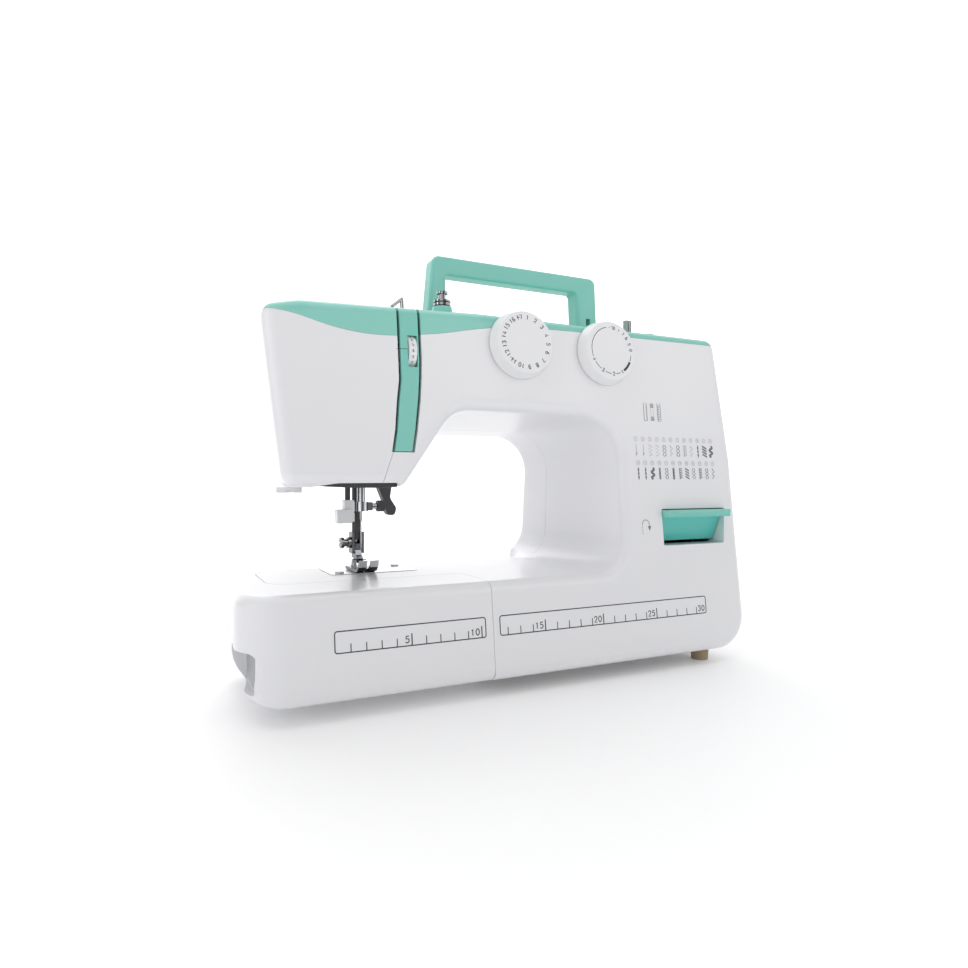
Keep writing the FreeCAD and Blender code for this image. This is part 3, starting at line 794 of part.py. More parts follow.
# bobbin winder
top_cover = top_cover.cut(rprism_xy([(SPINDLE_X - 4.5, SPINDLE_Y - 4.2, 3.5), (SPINDLE_X + 9.5, SPINDLE_Y - 4.2, 3.5), (SPINDLE_X + 9.5, SPINDLE_Y + 4.2, 3.5), (SPINDLE_X - 4.5, SPINDLE_Y + 4.2, 3.5)], 215, 240))
sp = cyl(SPINDLE_X, SPINDLE_Y, 206, 2.9, 40.4)
sp = sp.cut(box(SPINDLE_X - 0.5, SPINDLE_X + 0.5, SPINDLE_Y - 5, SPINDLE_Y + 5, 232, 248)).fuse(box(SPINDLE_X - 0.5, SPINDLE_X + 0.5, SPINDLE_Y - 1.6, SPINDLE_Y + 3.4, 232, 240))
wt = cyl(SPINDLE_X, SPINDLE_Y, 207, 13.0, 6)
add("winder_spindle", sp.fuse(wt))
wa = box(SPINDLE_X - 6, SPINDLE_X + 26, SPINDLE_Y - 6, SPINDLE_Y + 6, 214, 218).cut(cyl(SPINDLE_X, SPINDLE_Y, 200, 2.9 + RUN, 40))
wa = wa.cut(rprism_xy([(SPINDLE_X + 11.6, SPINDLE_Y - 2.6, 2.5), (SPINDLE_X + 22.7, SPINDLE_Y - 2.6, 2.5), (SPINDLE_X + 22.7, SPINDLE_Y + 2.6, 2.5), (SPINDLE_X + 11.6, SPINDLE_Y + 2.6, 2.5)], 200, 230))
add("winder_arm", wa)
top_cover = top_cover.fuse(cyl(SPINDLE_X + 20, SPINDLE_Y, 212, 2.5, 12))
st = cyl(303.0, SPINDLE_Y, TOP_Z - 0.1, 6.0, 11.0)
st = ffillet(st, [e for e in st.Edges if e.BoundBox.ZMin > TOP_Z + 10], (2,))
st = st.fuse(cyl(303.0, SPINDLE_Y, 219, 2.0, 8))
top_cover = top_cover.cut(cyl(303.0, SPINDLE_Y, 224, 2.0, 8))
top_cover = top_cover.cut(POST).cut(st)
add("top_posts", Part.Compound([POST, st]))
# spool pin, pulled up out of the top cover
top_cover = top_cover.cut(cyl(SPOOL_X, SPOOL_Y, 215, 2.6, 20))
add("spool_pin", cyl(SPOOL_X, SPOOL_Y, 214, 1.5, 45.4).fuse(cyl(SPOOL_X, SPOOL_Y, 214, 4.0, 2.5)))
slv = cyl(SPOOL_X, SPOOL_Y, 222.9 - 4, 4.5, 4.0).fuse(cyl(SPOOL_X, SPOOL_Y, 222.5, 2.6, 3.0)).cut(cyl(SPOOL_X, SPOOL_Y, 200, 1.5 + RUN, 50))
top_cover = top_cover.fuse(slv.cut(cyl(SPOOL_X, SPOOL_Y, 200, 1.5 + RUN, 50)))

# ---------------------------------------------------------------------------
# Base: plate, feet, screws, electrics
# ---------------------------------------------------------------------------
bp = prism_xy([(115.3, 6.3), (310.7, 6.3), (310.7, 157.7), (218.3, 157.7), (218.3, 133.7), (115.3, 133.7)], BASE_Z, -28.0)
bp = bp.fuse(prism_xy([(112.6, 2.0), (312.6, 2.0), (312.6, 160.4), (214.4, 160.4), (214.4, 136.4), (112.6, 136.4)], -27.9, -26.0)).fuse(
    prism_xy([(116, 7), (310, 7), (310, 157), (219, 157), (219, 133), (116, 133)], -29.0, -26.5))
FEET = [(308, 16), (128, 54), (300, 146), (128, 122)]
for x, y in FEET:
    bp = bp.cut(cyl(x, y, -40, 2.1, 20))
feet = None
for x, y in FEET:
    f = cone(x, y, FLOOR, 6.6, 7.4, 10.0)
    f = f.cut(cyl(x, y, FLOOR - 1, 4.6, 4.5)).cut(cyl(x, y, FLOOR - 1, 2.1, 20))
    feet = f if feet is None else feet.fuse(f)
add("rubber_feet", feet)
fsc = None
for x, y in FEET:
    s = cyl(x, y, FLOOR + 0.9, 4.0, 2.5).fuse(cyl(x, y, FLOOR + 3, 2.0, 14)).cut(box(x - 5, x + 5, y - 0.5, y + 0.5, FLOOR, FLOOR + 2.0))
    fsc = s if fsc is None else fsc.fuse(s)
SCREWS.append(fsc)
RS = [(238, 20.0), (322, 40.0), (305, 205.0), (120, 205.0), (10, 200.0), (238, 190.0)]
scr = None
for x, z in RS:
    yr = REAR_Y - REAR_DRAFT * z
    rear_cover = rear_cover.fuse(cyl(x, SPLIT_Y + 2, z, 4.6, yr - WALL - SPLIT_Y - 1.5, (0, 1, 0)))
    rear_cover = rear_cover.cut(cyl(x, yr - 6, z, 3.8, 12, (0, 1, 0))).cut(cyl(x, 100, z, 1.8, 80, (0, 1, 0)))
    s = cyl(x, yr - 6, z, 3.5, 2.4, (0, 1, 0)).fuse(cyl(x, SPLIT_Y - 8, z, 1.7, yr - 6 - SPLIT_Y + 8.5, (0, 1, 0)))
    s = s.cut(box(x - 2.4, x + 2.4, yr - 4.6, yr, z - 0.45, z + 0.45)).cut(box(x - 0.45, x + 0.45, yr - 4.6, yr, z - 2.4, z + 2.4))
    scr = s if scr is None else scr.fuse(s)
fr3 = NODES["machine_frame"]
for x, z in RS:
    fr3 = fr3.cut(cyl(x, 100, z, 1.75, 60, (0, 1, 0))).cut(cyl(x, FY1 - 0, z, 5.2, 40, (0, 1, 0))).cut(cyl(x, SPLIT_Y + 1.6, z, 5.0, 40, (0, 1, 0)))
NODES["machine_frame"] = fr3
SCREWS.append(scr)
add("screws", Part.Compound([q for b in SCREWS for q in b.Solids]))

# power inlet, switch and circuit board at the right side
wx = 343.0
front_cover = front_cover.cut(box(330, 350, 58, 86, 8, 28)).cut(box(330, 350, 60, 82, 48, 68))
inl = box(333, 344.3, 58.3, 85.7, 8.3, 27.7).fuse(box(342.9, 344.9, 55, 89, 5, 31))
inl = inl.cut(rprism_yz([(61.5, 11.5, 2), (82.5, 11.5, 2), (82.5, 24.5, 4), (61.5, 24.5, 4)], 335, 350))
for yy in (66, 72, 78):
    inl = inl.fuse(cyl(333, yy, 18, 1.2, 10, (1, 0, 0)))
inl = inl.cut(front_cover)
INLET = inl
swb = box(331, 343.2, 60.3, 81.7, 48.3, 67.7).fuse(box(343.1, 344.7, 57.5, 84.5, 45.5, 70.5)).cut(box(334.5, 350, 63, 79, 50.2, 65.8)).cut(front_cover)
SWB = swb
SWX, SWZ = 341.0, 58.0
rk = prism_xz([(336.6, 54.0), (343.2, 51.2), (345.2, 51.6), (343.9, 58.0), (343.2, 64.8), (341.0, 64.8), (336.6, 62.0)], 63.4, 78.6)
rk = rk.cut(cyl(SWX - 1, 60, SWZ, 1.0 + RUN, 30, (0, 1, 0)))
add("power_rocker", rk)
pin_sw = cyl(SWX - 1, 62.2, SWZ, 1.0, 17.6, (0, 1, 0))
SWB = SWB.cut(pin_sw)
PINS.append(pin_sw)
add("power_sockets", Part.Compound([q for b in (INLET, SWB) for q in b.Solids]))
add("hinge_pins", Part.Compound([q for b in PINS for q in b.Solids]))
pcb = box(316, 330, 52, 54, 40, 46)
pcb = box(306, 308, 20, 46, -20, 46)
pcb = pcb.fuse(box(300, 306, 24, 34, -10, 6)).fuse(box(301, 306, 24, 42, 14, 34))
add("control_board", pcb)

# lamp and thread cutter in the head
add("lamp", box(-8, 14, 40, 62, 104.8, 110).fuse(rprism_xy([(-5.8, 42.2, 3), (11.8, 42.2, 3), (11.8, 59.8, 3), (-5.8, 59.8, 3)], 103.4, 105.8)))
add("thread_cutter", box(-26, -9.5, 50, 58, 97.6, 101.4).cut(prism_xz([(-22, 97), (-14, 97), (-16, 99.4), (-20, 99.4)], 40, 54)).cut(box(-19.5, -17.5, 40, 55, 95, 99.5)))

add("front_cover", front_cover)
add("rear_cover", rear_cover)
add("face_cover", face_cover)
add("top_cover", top_cover)
add("thread_channel_cover", band)
add("base_plate", bp)


def place(s):
    s = s.copy()
    s.translate(V(-OX, -OY, -OZ))
    return s


if __name__ == "__main__":
    os.makedirs("parts", exist_ok=True)
    bb = None
    for name in sorted(NODES):
        s = place(NODES[name])
        b = s.BoundBox
        if bb is None:
            bb = FreeCAD.BoundBox(b)
        else:
            bb.add(b)
        ns = len(s.Solids)
        print("%-24s solids %d valid %s vol %9.1f  x %.1f..%.1f y %.1f..%.1f z %.1f..%.1f" % (name, ns, s.isValid(), s.Volume, b.XMin, b.XMax, b.YMin, b.YMax, b.ZMin, b.ZMax))
        if ns == 1:
            s = s.Solids[0]
        s.exportStep("parts/" + name + ".step")
    print("bbox", bb)
    print(len(NODES), "nodes")
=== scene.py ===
import math
import random
import bpy
import bmesh
from mathutils import Vector, Matrix


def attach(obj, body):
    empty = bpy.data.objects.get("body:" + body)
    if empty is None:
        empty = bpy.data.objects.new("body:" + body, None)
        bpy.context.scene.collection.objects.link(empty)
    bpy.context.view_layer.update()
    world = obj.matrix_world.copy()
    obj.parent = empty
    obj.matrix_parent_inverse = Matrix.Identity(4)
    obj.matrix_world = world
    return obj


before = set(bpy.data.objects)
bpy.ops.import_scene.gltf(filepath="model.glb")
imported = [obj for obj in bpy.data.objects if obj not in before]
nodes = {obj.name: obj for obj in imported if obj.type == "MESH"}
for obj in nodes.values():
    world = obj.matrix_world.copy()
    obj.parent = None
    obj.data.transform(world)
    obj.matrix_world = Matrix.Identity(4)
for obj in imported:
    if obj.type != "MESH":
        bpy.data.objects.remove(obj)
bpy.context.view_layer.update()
random.seed(7)

# design frame (mm) -> row frame (m)
OX, OY, OZ = 158.674, 83.398, -41.0
LEAN = 0.114
TILT = math.atan(LEAN)
NV = Vector((0.0, -math.cos(TILT), math.sin(TILT)))


def P(x, y, z):
    return Vector(((x - OX) / 1000.0, (y - OY) / 1000.0, (z - OZ) / 1000.0))


def F(x, z, d=0.05):
    """point on the leaning front face, d mm in front of it"""
    return P(x, LEAN * z, z) + NV * (d / 1000.0)


# ---------------------------------------------------------------- materials
def new_mat(name):
    m = bpy.data.materials.new(name)
    m.use_nodes = True
    nt = m.node_tree
    for n in list(nt.nodes):
        nt.nodes.remove(n)
    out = nt.nodes.new("ShaderNodeOutputMaterial")
    bs = nt.nodes.new("ShaderNodeBsdfPrincipled")
    nt.links.new(bs.outputs[0], out.inputs[0])
    return m, nt, bs


def setv(bs, **k):
    for a, v in k.items():
        bs.inputs[a.replace("_", " ")].default_value = v


def noise(nt, scale, detail=3.0, rough=0.5, coord="Object", stretch=None):
    tc = nt.nodes.new("ShaderNodeTexCoord")
    n = nt.nodes.new("ShaderNodeTexNoise")
    n.inputs["Scale"].default_value = scale
    n.inputs["Detail"].default_value = detail
    n.inputs["Roughness"].default_value = rough
    if stretch is not None:
        mp = nt.nodes.new("ShaderNodeMapping")
        mp.inputs["Scale"].default_value = stretch
        nt.links.new(tc.outputs[coord], mp.inputs["Vector"])
        nt.links.new(mp.outputs["Vector"], n.inputs["Vector"])
    else:
        nt.links.new(tc.outputs[coord], n.inputs["Vector"])
    return n


def ramp(nt, src, stops):
    r = nt.nodes.new("ShaderNodeValToRGB")
    els = r.color_ramp.elements
    els[0].position, els[0].color = stops[0][0], (*stops[0][1], 1.0)
    els[1].position, els[1].color = stops[-1][0], (*stops[-1][1], 1.0)
    for p, c in stops[1:-1]:
        e = els.new(p)
        e.color = (*c, 1.0)
    nt.links.new(src, r.inputs[0])
    return r


def map_range(nt, src, lo, hi, a=0.3, b=0.7):
    m = nt.nodes.new("ShaderNodeMapRange")
    m.inputs["From Min"].default_value = a
    m.inputs["From Max"].default_value = b
    m.inputs["To Min"].default_value = lo
    m.inputs["To Max"].default_value = hi
    nt.links.new(src, m.inputs["Value"])
    return m


def bump(nt, bs, src, strength, dist, prev=None):
    b = nt.nodes.new("ShaderNodeBump")
    b.inputs["Strength"].default_value = strength
    b.inputs["Distance"].default_value = dist
    nt.links.new(src, b.inputs["Height"])
    if prev is not None:
        nt.links.new(prev.outputs[0], b.inputs["Normal"])
    nt.links.new(b.outputs[0], bs.inputs["Normal"])
    return b


def plastic(name, col, rough=(0.22, 0.32), coat=0.25, grain=2600.0, amount=0.05, vary=0.02, sss=0.0, edge=None):
    """moulded plastic: fine spark-eroded grain, slow colour drift, and where an edge colour is given, a lighter colour
    on convex edges as painted highlight
    """
    m, nt, bs = new_mat(name)
    lo = tuple(max(0.0, c * (1 - vary)) for c in col)
    hi = tuple(min(1.0, c * (1 + vary)) for c in col)
    n1 = noise(nt, 9.0, 3.0)
    r = ramp(nt, n1.outputs[0], [(0.3, lo), (0.55, col), (0.75, hi)])
    # convex edges, found by pointiness, take the lighter edge colour: painted highlight along the rounded rims
    if edge is not None:
        geo = nt.nodes.new("ShaderNodeNewGeometry")
        painted_light_ramp = ramp(nt, geo.outputs["Pointiness"], [(0.48, (0.0, 0.0, 0.0)), (0.56, (1.0, 1.0, 1.0))])
        mix = nt.nodes.new("ShaderNodeMix")
        mix.data_type = "RGBA"
        mix.inputs[7].default_value = (*edge, 1.0)
        nt.links.new(painted_light_ramp.outputs[0], mix.inputs[0])
        nt.links.new(r.outputs[0], mix.inputs[6])
        nt.links.new(mix.outputs[2], bs.inputs["Base Color"])
    else:
        nt.links.new(r.outputs[0], bs.inputs["Base Color"])
    n2 = noise(nt, 60.0, 4.0, 0.6)
    mr = map_range(nt, n2.outputs[0], rough[0], rough[1])
    nt.links.new(mr.outputs[0], bs.inputs["Roughness"])
    n3 = noise(nt, grain, 2.0, 0.55)
    bump(nt, bs, n3.outputs[0], amount, 0.00006)
    setv(bs, Coat_Weight=coat, Coat_Roughness=0.12, IOR=1.49)
    if sss:
        setv(bs, Subsurface_Weight=sss, Subsurface_Radius=(0.004, 0.004, 0.004), Subsurface_Scale=0.3)
    return m


def metal(name, col, rough=(0.05, 0.12), scratch=0.04, stretch=(1, 1, 1), scale=900.0, aniso=0.0, reflection_dark=None):
    """metal with a drawn or ground direction, fine scratches, handling marks and, where a dark colour is given,
    painted reflection: dark bands multiplied into the base colour, laid out by the way each face points
    """
    m, nt, bs = new_mat(name)
    n1 = noise(nt, 24.0, 3.0)
    lo = tuple(c * 0.90 for c in col)
    r = ramp(nt, n1.outputs[0], [(0.3, lo), (0.7, col)])
    # dark and light bands set by the surface normal, multiplied into the base colour: painted reflection
    if reflection_dark is not None:
        geo = nt.nodes.new("ShaderNodeNewGeometry")
        sx = nt.nodes.new("ShaderNodeSeparateXYZ")
        nt.links.new(geo.outputs["Normal"], sx.inputs[0])
        tc = nt.nodes.new("ShaderNodeTexCoord")
        reflection_bands = nt.nodes.new("ShaderNodeTexWave")
        reflection_bands.wave_type = "BANDS"
        reflection_bands.bands_direction = "Y"
        reflection_bands.inputs["Scale"].default_value = 0.9
        reflection_bands.inputs["Distortion"].default_value = 1.2
        reflection_bands.inputs["Detail"].default_value = 1.0
        nt.links.new(geo.outputs["Normal"], reflection_bands.inputs["Vector"])
        painted_light_ramp = ramp(nt, reflection_bands.outputs["Fac"], [(0.18, reflection_dark), (0.42, tuple(c * 0.7 for c in col)), (0.62, (1.0, 1.0, 1.0))])
        mix = nt.nodes.new("ShaderNodeMix")
        mix.data_type = "RGBA"
        mix.blend_type = "MULTIPLY"
        mix.inputs[0].default_value = 1.0
        nt.links.new(r.outputs[0], mix.inputs[6])
        nt.links.new(painted_light_ramp.outputs[0], mix.inputs[7])
        nt.links.new(mix.outputs[2], bs.inputs["Base Color"])
    else:
        nt.links.new(r.outputs[0], bs.inputs["Base Color"])
    n2 = noise(nt, scale, 4.0, 0.6, stretch=stretch)
    mr = map_range(nt, n2.outputs[0], rough[0], rough[1])
    nt.links.new(mr.outputs[0], bs.inputs["Roughness"])
    bump(nt, bs, n2.outputs[0], scratch, 0.00005)
    setv(bs, Metallic=1.0, Anisotropic=aniso)
    return m


M = {}
M["white"] = plastic("white_moulded", (0.815, 0.817, 0.845), rough=(0.275, 0.285), coat=0.25, amount=0.002, vary=0.004, edge=(0.82, 0.82, 0.84))
M["white_dial"] = plastic("white_dial_moulded", (0.82, 0.82, 0.84), rough=(0.30, 0.36), coat=0.15, amount=0.006, vary=0.006, edge=(0.83, 0.83, 0.84))
M["green"] = plastic("mint_moulded", (0.205, 0.565, 0.490), rough=(0.32, 0.42), coat=0.12, amount=0.07, vary=0.03, edge=(0.26, 0.62, 0.54))
M["green_band"] = plastic("mint_band_moulded", (0.140, 0.585, 0.530), rough=(0.34, 0.44), coat=0.10, amount=0.07, vary=0.03, edge=(0.22, 0.58, 0.50))
M["green_lever"] = plastic("mint_lever_moulded", (0.175, 0.540, 0.470), rough=(0.36, 0.48), coat=0.08, amount=0.08, vary=0.03, edge=(0.24, 0.60, 0.52))
# the lever below design z 76.9 takes a bluer teal, fading to its own mint on the lip above 78.6: painted shade on the
# inner slope
lv_nt = M["green_lever"].node_tree
lv_bs = [n for n in lv_nt.nodes if n.type == "BSDF_PRINCIPLED"][0]
lv_src = lv_bs.inputs["Base Color"].links[0].from_socket
lv_tc = lv_nt.nodes.new("ShaderNodeTexCoord")
lv_sx = lv_nt.nodes.new("ShaderNodeSeparateXYZ")
lv_nt.links.new(lv_tc.outputs["Object"], lv_sx.inputs[0])
lever_shade_mask = map_range(lv_nt, lv_sx.outputs["Z"], 0.0, 1.0, (76.9 + 41) / 1000.0, (78.6 + 41) / 1000.0)
lever_shade_mix = lv_nt.nodes.new("ShaderNodeMix")
lever_shade_mix.data_type = "RGBA"
lever_shade_mix.inputs[6].default_value = (0.110, 0.560, 0.500, 1.0)
lv_nt.links.new(lever_shade_mask.outputs[0], lever_shade_mix.inputs[0])
lv_nt.links.new(lv_src, lever_shade_mix.inputs[7])
lv_nt.links.new(lever_shade_mix.outputs[2], lv_bs.inputs["Base Color"])
M["black"] = plastic("black_moulded", (0.018, 0.018, 0.020), rough=(0.38, 0.52), coat=0.05, amount=0.14, vary=0.15, edge=(0.045, 0.045, 0.048))
M["grey"] = plastic("grey_moulded", (0.33, 0.335, 0.345), rough=(0.42, 0.55), coat=0.0, amount=0.16, vary=0.05, edge=(0.40, 0.40, 0.41))
M["chrome"] = metal("chrome_plate", (0.74, 0.745, 0.76), rough=(0.06, 0.16), scratch=0.03, reflection_dark=(0.10, 0.10, 0.11))
M["plate"] = metal("ground_plate", (0.70, 0.70, 0.715), rough=(0.16, 0.28), scratch=0.05, stretch=(14, 1, 1), scale=500.0, aniso=0.3)
M["steel"] = metal("ground_steel", (0.56, 0.565, 0.58), rough=(0.22, 0.36), scratch=0.10, stretch=(1, 14, 14), scale=420.0, aniso=0.35)
M["dark_steel"] = metal("oiled_steel", (0.07, 0.068, 0.07), rough=(0.25, 0.40), scratch=0.10, stretch=(14, 14, 1), scale=300.0, aniso=0.3)
M["casting"] = metal("die_casting", (0.46, 0.465, 0.48), rough=(0.42, 0.62), scratch=0.25, scale=700.0)
M["bronze"] = metal("sintered_bronze", (0.55, 0.38, 0.18), rough=(0.35, 0.55), scratch=0.2, scale=1500.0)
M["rubber"] = plastic("tan_rubber", (0.36, 0.27, 0.17), rough=(0.62, 0.80), coat=0.0, amount=0.25, grain=1200.0, vary=0.08)
M["belt"] = plastic("belt_rubber", (0.02, 0.02, 0.02), rough=(0.6, 0.8), coat=0.0, amount=0.3, grain=900.0, vary=0.1)
M["board"] = plastic("printed_board", (0.03, 0.16, 0.06), rough=(0.25, 0.4), coat=0.3, amount=0.1, grain=300.0, vary=0.15)
M["ink"] = plastic("print_ink", (0.045, 0.045, 0.050), rough=(0.40, 0.50), coat=0.0, amount=0.05, vary=0.2)
M["ink_grey"] = plastic("print_ink_grey", (0.20, 0.20, 0.215), rough=(0.40, 0.50), coat=0.0, amount=0.05, vary=0.2)
M["ink_light"] = plastic("print_ink_light", (0.36, 0.36, 0.375), rough=(0.40, 0.50), coat=0.0, amount=0.05, vary=0.1)


def clear(name, col, rough):
    m, nt, bs = new_mat(name)
    n1 = noise(nt, 40.0, 2.0)
    r = ramp(nt, n1.outputs[0], [(0.3, tuple(c * 0.97 for c in col)), (0.7, col)])
    nt.links.new(r.outputs[0], bs.inputs["Base Color"])
    n2 = noise(nt, 300.0, 2.0)
    mr = map_range(nt, n2.outputs[0], rough, rough + 0.08)
    nt.links.new(mr.outputs[0], bs.inputs["Roughness"])
    bump(nt, bs, n2.outputs[0], 0.03, 0.00005)
    setv(bs, Transmission_Weight=0.85, IOR=1.49)
    return m


M["lens"] = clear("frosted_lens", (0.93, 0.95, 0.96), 0.18)
M["clear"] = clear("clear_bobbin", (0.90, 0.93, 0.95), 0.05)

ASSIGN = {
    "white": ["front_cover", "rear_cover", "face_cover", "free_arm_cover", "extension_table", "shuttle_door", "handwheel", "thread_cutter", "needle_threader"],
    "white_dial": ["pattern_dial", "stitch_length_dial", "tension_dial", "pattern_cam_shaft", "stitch_length_cam_shaft"],
    "green": ["top_cover", "carry_handle", "top_posts"],
    "green_band": ["thread_channel_cover"],
    "green_lever": ["reverse_lever"],
    "black": ["threader_rod", "needle_clamp_knob", "presser_lifter", "power_sockets", "power_rocker", "upper_pulleys"],
    "grey": ["base_plate", "winder_spindle"],
    "plate": ["needle_plate"],
    "chrome": ["top_thread_guides", "needle_bar", "needle_clamp", "needle", "needle_clamp_screw", "presser_foot_holder", "presser_foot", "presser_foot_screw",
               "take_up_lever", "tension_discs", "spool_pin", "bobbin_case", "feed_dog"],
    "steel": ["motor", "inner_brackets", "screws", "hinge_pins", "main_shaft", "lower_shaft", "motor_pulley", "hook", "winder_arm", "presser_spring"],
    "dark_steel": ["presser_bar"],
    "casting": ["machine_frame", "hook_race"],
    "bronze": ["shaft_bushes"],
    "rubber": ["rubber_feet"],
    "belt": ["drive_belts"],
    "board": ["control_board"],
    "lens": ["lamp"],
    "clear": ["bobbin"],
}
done = set()
for key, names in ASSIGN.items():
    for nm in names:
        o = nodes[nm]
        if not o.material_slots:
            o.data.materials.append(M[key])
        for s in o.material_slots:
            s.link = "OBJECT"
            s.material = M[key]
        done.add(nm)
missing = set(nodes) - done
if missing:
    raise RuntimeError("no material for " + ", ".join(sorted(missing)))


# ---------------------------------------------------------------- mesh helpers
def obj_from(name, verts, faces, mat, body, smooth=False):
    me = bpy.data.meshes.new(name)
    me.from_pydata([tuple(v) for v in verts], [], faces)
    me.validate()
    me.materials.append(mat)
    if smooth:
        for p in me.polygons:
            p.use_smooth = True
    o = bpy.data.objects.new(name, me)
    bpy.context.scene.collection.objects.link(o)
    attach(o, body)
    return o


class Print:
    """collects thin printed marks in a plane given by at(u, v) -> point"""

    def __init__(self, at):
        self.at = at
        self.v, self.f = [], []

    def poly(self, pts):
        i = len(self.v)
        self.v += [self.at(*p) for p in pts]
        self.f.append(tuple(range(i, i + len(pts))))

    def line(self, a, b, w):
        dx, dy = b[0] - a[0], b[1] - a[1]
        l = math.hypot(dx, dy) or 1.0
        nx, ny = -dy / l * w / 2, dx / l * w / 2
        ex, ey = dx / l * w / 2, dy / l * w / 2
        self.poly([(a[0] - ex + nx, a[1] - ey + ny), (a[0] - ex - nx, a[1] - ey - ny), (b[0] + ex - nx, b[1] + ey - ny), (b[0] + ex + nx, b[1] + ey + ny)])

    def path(self, pts, w, closed=False):
        n = len(pts)
        left, right = [], []
        for i in range(n):
            if closed:
                a, b = pts[i - 1], pts[(i + 1) % n]
            else:
                a, b = pts[max(0, i - 1)], pts[min(n - 1, i + 1)]
            dx, dy = b[0] - a[0], b[1] - a[1]
            l = math.hypot(dx, dy) or 1.0
            nx, ny = -dy / l * w / 2, dx / l * w / 2
            left.append((pts[i][0] + nx, pts[i][1] + ny))
            right.append((pts[i][0] - nx, pts[i][1] - ny))
        base = len(self.v)
        for p, q in zip(left, right):
            self.v.append(self.at(*p))
            self.v.append(self.at(*q))
        m = n if closed else n - 1
        for i in range(m):
            j = (i + 1) % n
            self.f.append((base + 2 * i, base + 2 * i + 1, base + 2 * j + 1, base + 2 * j))

    def arc(self, c, r, a0, a1, w, n=24):
        self.path([(c[0] + r * math.cos(math.radians(a0 + (a1 - a0) * i / n)), c[1] + r * math.sin(math.radians(a0 + (a1 - a0) * i / n))) for i in range(n + 1)], w)

    def ring(self, c, r, w, n=20):
        self.path([(c[0] + r * math.cos(2 * math.pi * i / n), c[1] + r * math.sin(2 * math.pi * i / n)) for i in range(n)], w, True)

    def rrect(self, x0, z0, x1, z1, r, w, open_right=False, open_left=False, n=6):
        pts = []
        for cx, cz, a in ((x1 - r, z1 - r, 0), (x0 + r, z1 - r, 90), (x0 + r, z0 + r, 180), (x1 - r, z0 + r, 270)):
            for i in range(n + 1):
                t = math.radians(a + 90.0 * i / n)
                pts.append((cx + r * math.cos(t), cz + r * math.sin(t)))
        self.path(pts, w, True)

    def make(self, name, mat, body):
        return obj_from(name, self.v, self.f, mat, body)


# strokes of the digits, on a 0..1 by 0..1.5 cell
DIGITS = {
    "0": [[(0.5 + 0.42 * math.cos(t * math.pi / 8), 0.75 + 0.7 * math.sin(t * math.pi / 8)) for t in range(17)]],
    "1": [[(0.25, 1.2), (0.55, 1.45), (0.55, 0.05)]],
    "2": [[(0.1, 1.1), (0.2, 1.35), (0.5, 1.47), (0.8, 1.33), (0.88, 1.05), (0.75, 0.75), (0.1, 0.05), (0.9, 0.05)]],
    "3": [[(0.12, 1.2), (0.3, 1.42), (0.6, 1.45), (0.85, 1.25), (0.8, 0.95), (0.45, 0.8), (0.82, 0.65), (0.9, 0.35), (0.65, 0.08), (0.3, 0.06), (0.08, 0.3)]],
    "4": [[(0.7, 0.05), (0.7, 1.45), (0.08, 0.45), (0.95, 0.45)]],
    "5": [[(0.85, 1.45), (0.25, 1.45), (0.17, 0.85), (0.5, 0.95), (0.82, 0.78), (0.9, 0.45), (0.7, 0.12), (0.35, 0.04), (0.08, 0.22)]],
    "6": [[(0.8, 1.35), (0.5, 1.47), (0.2, 1.2), (0.1, 0.6), (0.25, 0.12), (0.55, 0.03), (0.85, 0.2), (0.9, 0.5), (0.7, 0.82), (0.4, 0.85), (0.14, 0.62)]],
    "7": [[(0.08, 1.45), (0.9, 1.45), (0.4, 0.05)]],
    "8": [[(0.5 + 0.34 * math.cos(t * math.pi / 8), 1.12 + 0.34 * math.sin(t * math.pi / 8)) for t in range(17)],
          [(0.5 + 0.42 * math.cos(t * math.pi / 8), 0.42 + 0.39 * math.sin(t * math.pi / 8)) for t in range(17)]],
    "9": [[(0.2, 0.15), (0.5, 0.03), (0.8, 0.3), (0.9, 0.9), (0.75, 1.38), (0.45, 1.47), (0.15, 1.3), (0.1, 1.0), (0.3, 0.68), (0.6, 0.65), (0.86, 0.88)]],
}


def digits(pr, text, at, h, w, ang=0.0, anchor="c"):
    """number made of strokes; h is its height, w the stroke width, ang its turn in degrees"""
    s = h / 1.5
    adv = s * 1.28
    total = adv * len(text) - s * 0.28
    x0 = -total / 2 if anchor == "c" else (-total if anchor == "r" else 0.0)
    ca, sa = math.cos(math.radians(ang)), math.sin(math.radians(ang))
    for k, ch in enumerate(text):
        for st in DIGITS[ch]:
            pts = []
            for px, pz in st:
                u = x0 + k * adv + px * s
                v = pz * s - h / 2
                pts.append((at[0] + u * ca - v * sa, at[1] + u * sa + v * ca))
            pr.path(pts, w)


# ---------------------------------------------------------------- seam rule on the base
rt = Print(lambda x, z: F(x, z, 0.06))
rt.rrect(0.0, 0.0, 103.0, 13.1, 1.6, 0.72)
rm = Print(lambda x, z: F(x, z, 0.06))
rm.rrect(114.0, 0.0, 300.0, 13.1, 1.6, 0.72)
for k in range(1, 30):
    x = 10.0 * k
    if 103.5 < x < 113.5:
        continue
    pr = rt if x < 105 else rm
    if k % 5 == 0:
        pr.line((x, 0.2), (x, 7.2), 0.80)
    elif k == 11:
        continue
    else:
        pr.line((x, 0.2), (x, 4.9), 0.66)
for k in range(5, 31, 5):
    x = 10.0 * k
    pr = rt if x < 105 else rm
    digits(pr, str(k), (x - 1.7, 4.0), 4.4, 0.72, 0.0, "r")
rt.make("print_rule_table", M["ink"], "table")
rm.make("print_rule_base", M["ink"], "frame")

# ---------------------------------------------------------------- stitch chart on the pillar
chart = Print(lambda x, z: F(x, z, 0.06))
pale = Print(lambda x, z: F(x, z, 0.06))


